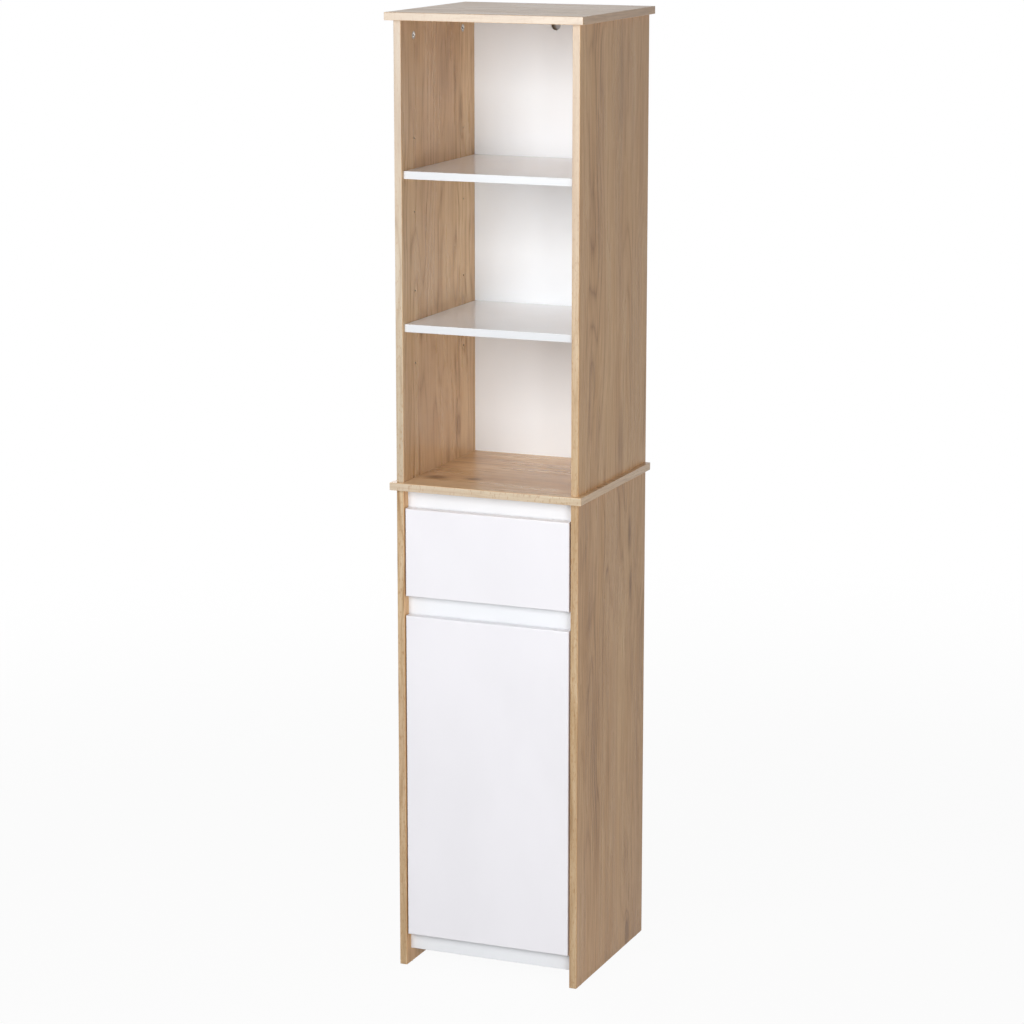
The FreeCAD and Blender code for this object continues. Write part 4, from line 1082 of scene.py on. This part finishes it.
@dataclass
class Fittings:
    """The metal, plastic and wooden small parts."""

    nodes: Nodes
    record: dict[str, Any]
    nickel: MetalFinish = MetalFinish("nickel", (0.62, 0.61, 0.59), 0.30, 1.0, (300.0, 300.0, 300.0))
    zinc: MetalFinish = MetalFinish("zinc_steel", (0.50, 0.50, 0.52), 0.38, 1.0, (500.0, 500.0, 90.0))
    # The bracket's pale grey is partly the steel's own and partly painted light that lifts it in the shade
    # behind the notch.
    bracket: MetalFinish = MetalFinish("bracket_steel", (0.58, 0.58, 0.60), 0.6, 0.0, (60.0, 200.0, 700.0))
    enamel: MetalFinish = MetalFinish("white_enamel", (0.80, 0.80, 0.80), 0.36, 0.0, (400.0, 60.0, 400.0))
    nylon: MouldedFinish = MouldedFinish("nylon", (0.74, 0.74, 0.72), 0.5, (500.0, 500.0, 500.0), 0.06)
    pad: MouldedFinish = MouldedFinish("soft_pad", (0.72, 0.72, 0.71), 0.6, (700.0, 700.0, 700.0), 0.08)
    beech: MouldedFinish = MouldedFinish("beech", tone(206, 166, 120), 0.6, (300.0, 300.0, 30.0), 0.22)

    SMOOTH_UNDER = math.radians(32.0)

    def build(self) -> None:
        """Dresses every fitting by its kind, and turns those whose CAD solids are plain."""
        names = sorted(self.nodes)
        groups = (
            (self.beech, [n for n in names if "dowels" in n]),
            (self.nylon, [n for n in names if n.startswith("roller_") or n == "floor_glides"]),
            (self.enamel, [n for n in names if n.startswith("runner_") and "screws" not in n]),
            (self.bracket, ["wall_bracket"]),
            (self.nickel, [n for n in names if n.startswith("hinge_") and "screws" not in n]),
            (self.zinc, [n for n in names if "bolts" in n or "pins" in n]),
        )
        for finish, members in groups:
            dress(self.nodes, members, finish.material())
        self.turned([n for n in names if "cam_locks" in n], CamLock, Facing.DRIVE, self.nickel)
        self.turned([n for n in names if "screws" in n], Screw, Facing.HEAD, self.zinc)
        self.turned([n for n in names if "bumpers" in n], Bumper, Facing.BEHIND, self.pad)

    def turned(
        self,
        names: list[str],
        kind: type[CamLock | Screw | Bumper],
        facing: Facing,
        finish: MetalFinish | MouldedFinish,
    ) -> None:
        """Replaces each named node with one mesh that holds all its turned fittings.

        Args:
            names: The nodes.
            kind: The class of the fitting.
            facing: What tells its visible end.
            finish: Its finish.
        """
        bodies = self.record["behaviour"]["bodies"]
        material = finish.material()
        for name in names:
            grids = [kind(seat_of(points, facing)).surface() for points in solids(self.nodes[name])]
            made = piece(f"{name}_turned", *merged([grid for grid, _ in grids]))
            # Each point's depth in a drive, kept on the mesh for the painted shade.
            recess_shade = np.concatenate([recess_shade.reshape(-1) for _, recess_shade in grids])
            made.data.attributes.new("recess_shade", "FLOAT", "POINT").data.foreach_set("value", recess_shade)
            made.data.materials.append(material)
            made.data.shade_smooth()
            made.data.set_sharp_from_angle(angle=self.SMOOTH_UNDER)
            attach(made, next(body for body, members in bodies.items() if name in members))
            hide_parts(name)


@dataclass(frozen=True)
class Lamp:
    """A square soft light.

    Attributes:
        name: Its name.
        place, target: Where it stands, and the point that it faces.
        size, power: The length of its side, and its power in watts.
    """

    name: str
    place: Point
    target: Point
    size: float
    power: float

    def build(self) -> None:
        """Places the light, hidden from the camera itself."""
        light = bpy.data.lights.new(self.name, "AREA")
        light.shape = "SQUARE"
        light.size = self.size
        light.energy = self.power
        lamp = bpy.data.objects.new(self.name, light)
        bpy.context.scene.collection.objects.link(lamp)
        aim = np.subtract(self.target, self.place)
        level = math.hypot(aim[0], aim[1])
        lamp.location = self.place
        lamp.visible_camera = False
        lamp.rotation_euler = (math.atan2(level, -aim[2]), 0.0, math.atan2(-aim[0], aim[1]))


@dataclass
class Studio:
    """A pale floor that fades into a white background, soft lights and the camera.

    Attributes:
        floor_reach, floor_rings, floor_angles: The floor's radius, its rings, and each ring's points.
        fade_from, fade_to: Where it fades out, as shares of its radius.
        lift: How much of the background's white the camera sees on it.
        shown, lit, lamps: The background's strength for the camera and as a light, and the lights.
        camera_place: Where the camera stands.
        camera_pitch, camera_yaw: How far it looks down and to the left, in degrees.
        lens, sensor: Its focal length and its sensor's width, in millimetres.
        shift, far: Its upward shift, as a share of the picture, and how far it sees.
    """

    floor_reach: float = 4.0
    floor_rings: int = 24
    floor_angles: int = 64
    fade_from: float = 0.30
    fade_to: float = 0.95
    lift: float = 0.95
    shown: float = 1.0
    lit: float = 0.15
    lamps: tuple[Lamp, ...] = (
        Lamp("key_light", (-0.4, -3.4, 2.2), (0.0, 0.0, 1.4), 2.0, 98.0),
        Lamp("fill_light", (2.5, -3.0, 1.2), (0.0, 0.0, 1.2), 1.4, 56.0),
        Lamp("back_light", (-2.4, 3.2, 1.0), (0.0, 0.0, 1.0), 1.6, 34.0),
    )
    camera_place: Point = (2.380, -5.8085, 2.258)
    camera_pitch: float = 11.92
    camera_yaw: float = 22.45
    lens: float = 113.8
    sensor: float = 36.0
    shift: float = -0.01
    far: float = 60.0

    def build(self) -> None:
        """Makes the floor, the world, the lights and the camera."""
        self.floor()
        self.world()
        for lamp in self.lamps:
            lamp.build()
        self.camera()
        bpy.context.scene.view_settings.view_transform = "Standard"

    def floor(self) -> None:
        """Builds a round floor grid whose look fades out towards its rim.

        The rings' radii are reach * share to the power 1.5. The outer rim's closing face is left out.
        """
        ring = np.linspace(0.0, 1.0, self.floor_rings + 1)[1:] ** 1.5 * self.floor_reach
        turn = ring_angles(self.floor_angles)
        x, y = np.outer(ring, np.cos(turn)), np.outer(ring, np.sin(turn))
        points, faces = merged([np.stack([x, y, np.zeros_like(x)], -1)])
        floor = piece("floor", points, faces[:-1])
        floor.data.materials.append(self.floor_material())

    def floor_material(self) -> bpy.types.Material:
        """A matt white that the camera sees as the background's white, with the shadow left in it.

        Returns:
            The finished material.
        """
        g = Surface("studio_floor", 0.9)
        dust = g.noise(g.place, Pattern((3.0, 3.0, 3.0)))
        grey = g.mix(dust, (0.56, 0.56, 0.56), (0.62, 0.62, 0.62))
        g.fill(g.shader, {"Specular IOR Level": 0.1, "Base Color": grey})
        glow, clear = g.node("Emission", WHITE), g.node("BsdfTransparent")
        share = g.math("MULTIPLY", self.seen(g), self.lift)
        lifted = g.blend(share, g.shader.outputs[0], glow.outputs[0])
        away = g.vector("LENGTH", g.place)
        fade = g.span(away, self.fade_from * self.floor_reach, self.fade_to * self.floor_reach)
        g.feed(g.output.inputs["Surface"], g.blend(fade, lifted, clear.outputs[0]))
        return g.material

    def seen(self, g: Graph) -> Socket:
        """Tells the rays that show the background from those that light the object.

        Args:
            g: The graph that needs it.

        Returns:
            1 for rays straight from the camera, by a gloss or through glass, and 0 for the others.
        """
        rays = g.node("LightPath").outputs
        shown = g.math("MAXIMUM", rays["Is Camera Ray"], rays["Is Glossy Ray"])
        return g.math("MAXIMUM", shown, rays["Is Transmission Ray"])

    def world(self) -> None:
        """A white background that lights the object more gently than it looks."""
        world = bpy.data.worlds.new("studio_world")
        bpy.context.scene.world = world
        g = Graph(world)
        shown, lit = (g.node("Background", WHITE, power).outputs[0] for power in (self.shown, self.lit))
        g.feed(g.node("OutputWorld").inputs["Surface"], g.blend(self.seen(g), lit, shown))

    def camera(self) -> None:
        """Places the camera so that it sees the cabinet as the photograph does, from further away."""
        data = bpy.data.cameras.new("camera")
        data.lens = self.lens
        data.sensor_width = self.sensor
        data.shift_y = self.shift
        data.clip_end = self.far
        camera = bpy.data.objects.new("camera", data)
        camera.location = self.camera_place
        camera.rotation_euler = (math.radians(90.0 - self.camera_pitch), 0.0, math.radians(self.camera_yaw))
        bpy.context.scene.collection.objects.link(camera)
        bpy.context.scene.camera = camera


def merged(grids: list[np.ndarray]) -> tuple[np.ndarray, Faces]:
    """Makes one mesh of grids whose rings are closed round their second index.

    Quad (i, j) joins ring i's points j and j + 1 to ring i + 1's, counted round the ring, and the
    first and last ring of each grid have one face each over their whole ring.

    Args:
        grids: The grids, each rings by points by 3, counter-clockwise seen from the first ring.

    Returns:
        The vertices, and the faces as tuples of indices.
    """
    faces: Faces = []
    start = 0
    for grid in grids:
        index = start + np.arange(grid.shape[0] * grid.shape[1]).reshape(grid.shape[:2])
        following = np.roll(index, -1, axis=1)
        quads = np.stack([index[:-1], index[1:], following[1:], following[:-1]], -1)
        faces += [tuple(quad) for quad in quads.reshape(-1, 4).tolist()]
        faces += [tuple(index[0].tolist()), tuple(index[-1, ::-1].tolist())]
        start += index.size
    return np.concatenate([grid.reshape(-1, 3) for grid in grids]), faces


def piece(name: str, vertices: np.ndarray, faces: Faces) -> bpy.types.Object:
    """Puts a computed surface into a new object at the origin.

    Args:
        name: The piece's name.
        vertices: Its points in metres, in the cabinet's own frame.
        faces: Its faces.

    Returns:
        The new object.
    """
    mesh = bpy.data.meshes.new(name)
    mesh.from_pydata(vertices.tolist(), [], faces)
    mesh.validate()
    made = bpy.data.objects.new(name, mesh)
    bpy.context.scene.collection.objects.link(made)
    return made


def main() -> None:
    """Builds the cabinet's looks in order and reports each part."""
    logging.basicConfig(level=logging.INFO, format="%(name)s: %(message)s")
    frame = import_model()
    nodes = frame["nodes"]
    for part in (OakCarcass(nodes), WhiteBoards(nodes), Fittings(nodes, frame["record"]), Studio()):
        part.build()
        LOG.info("built %s", type(part).__name__)


if __name__ == "__main__":
    main()
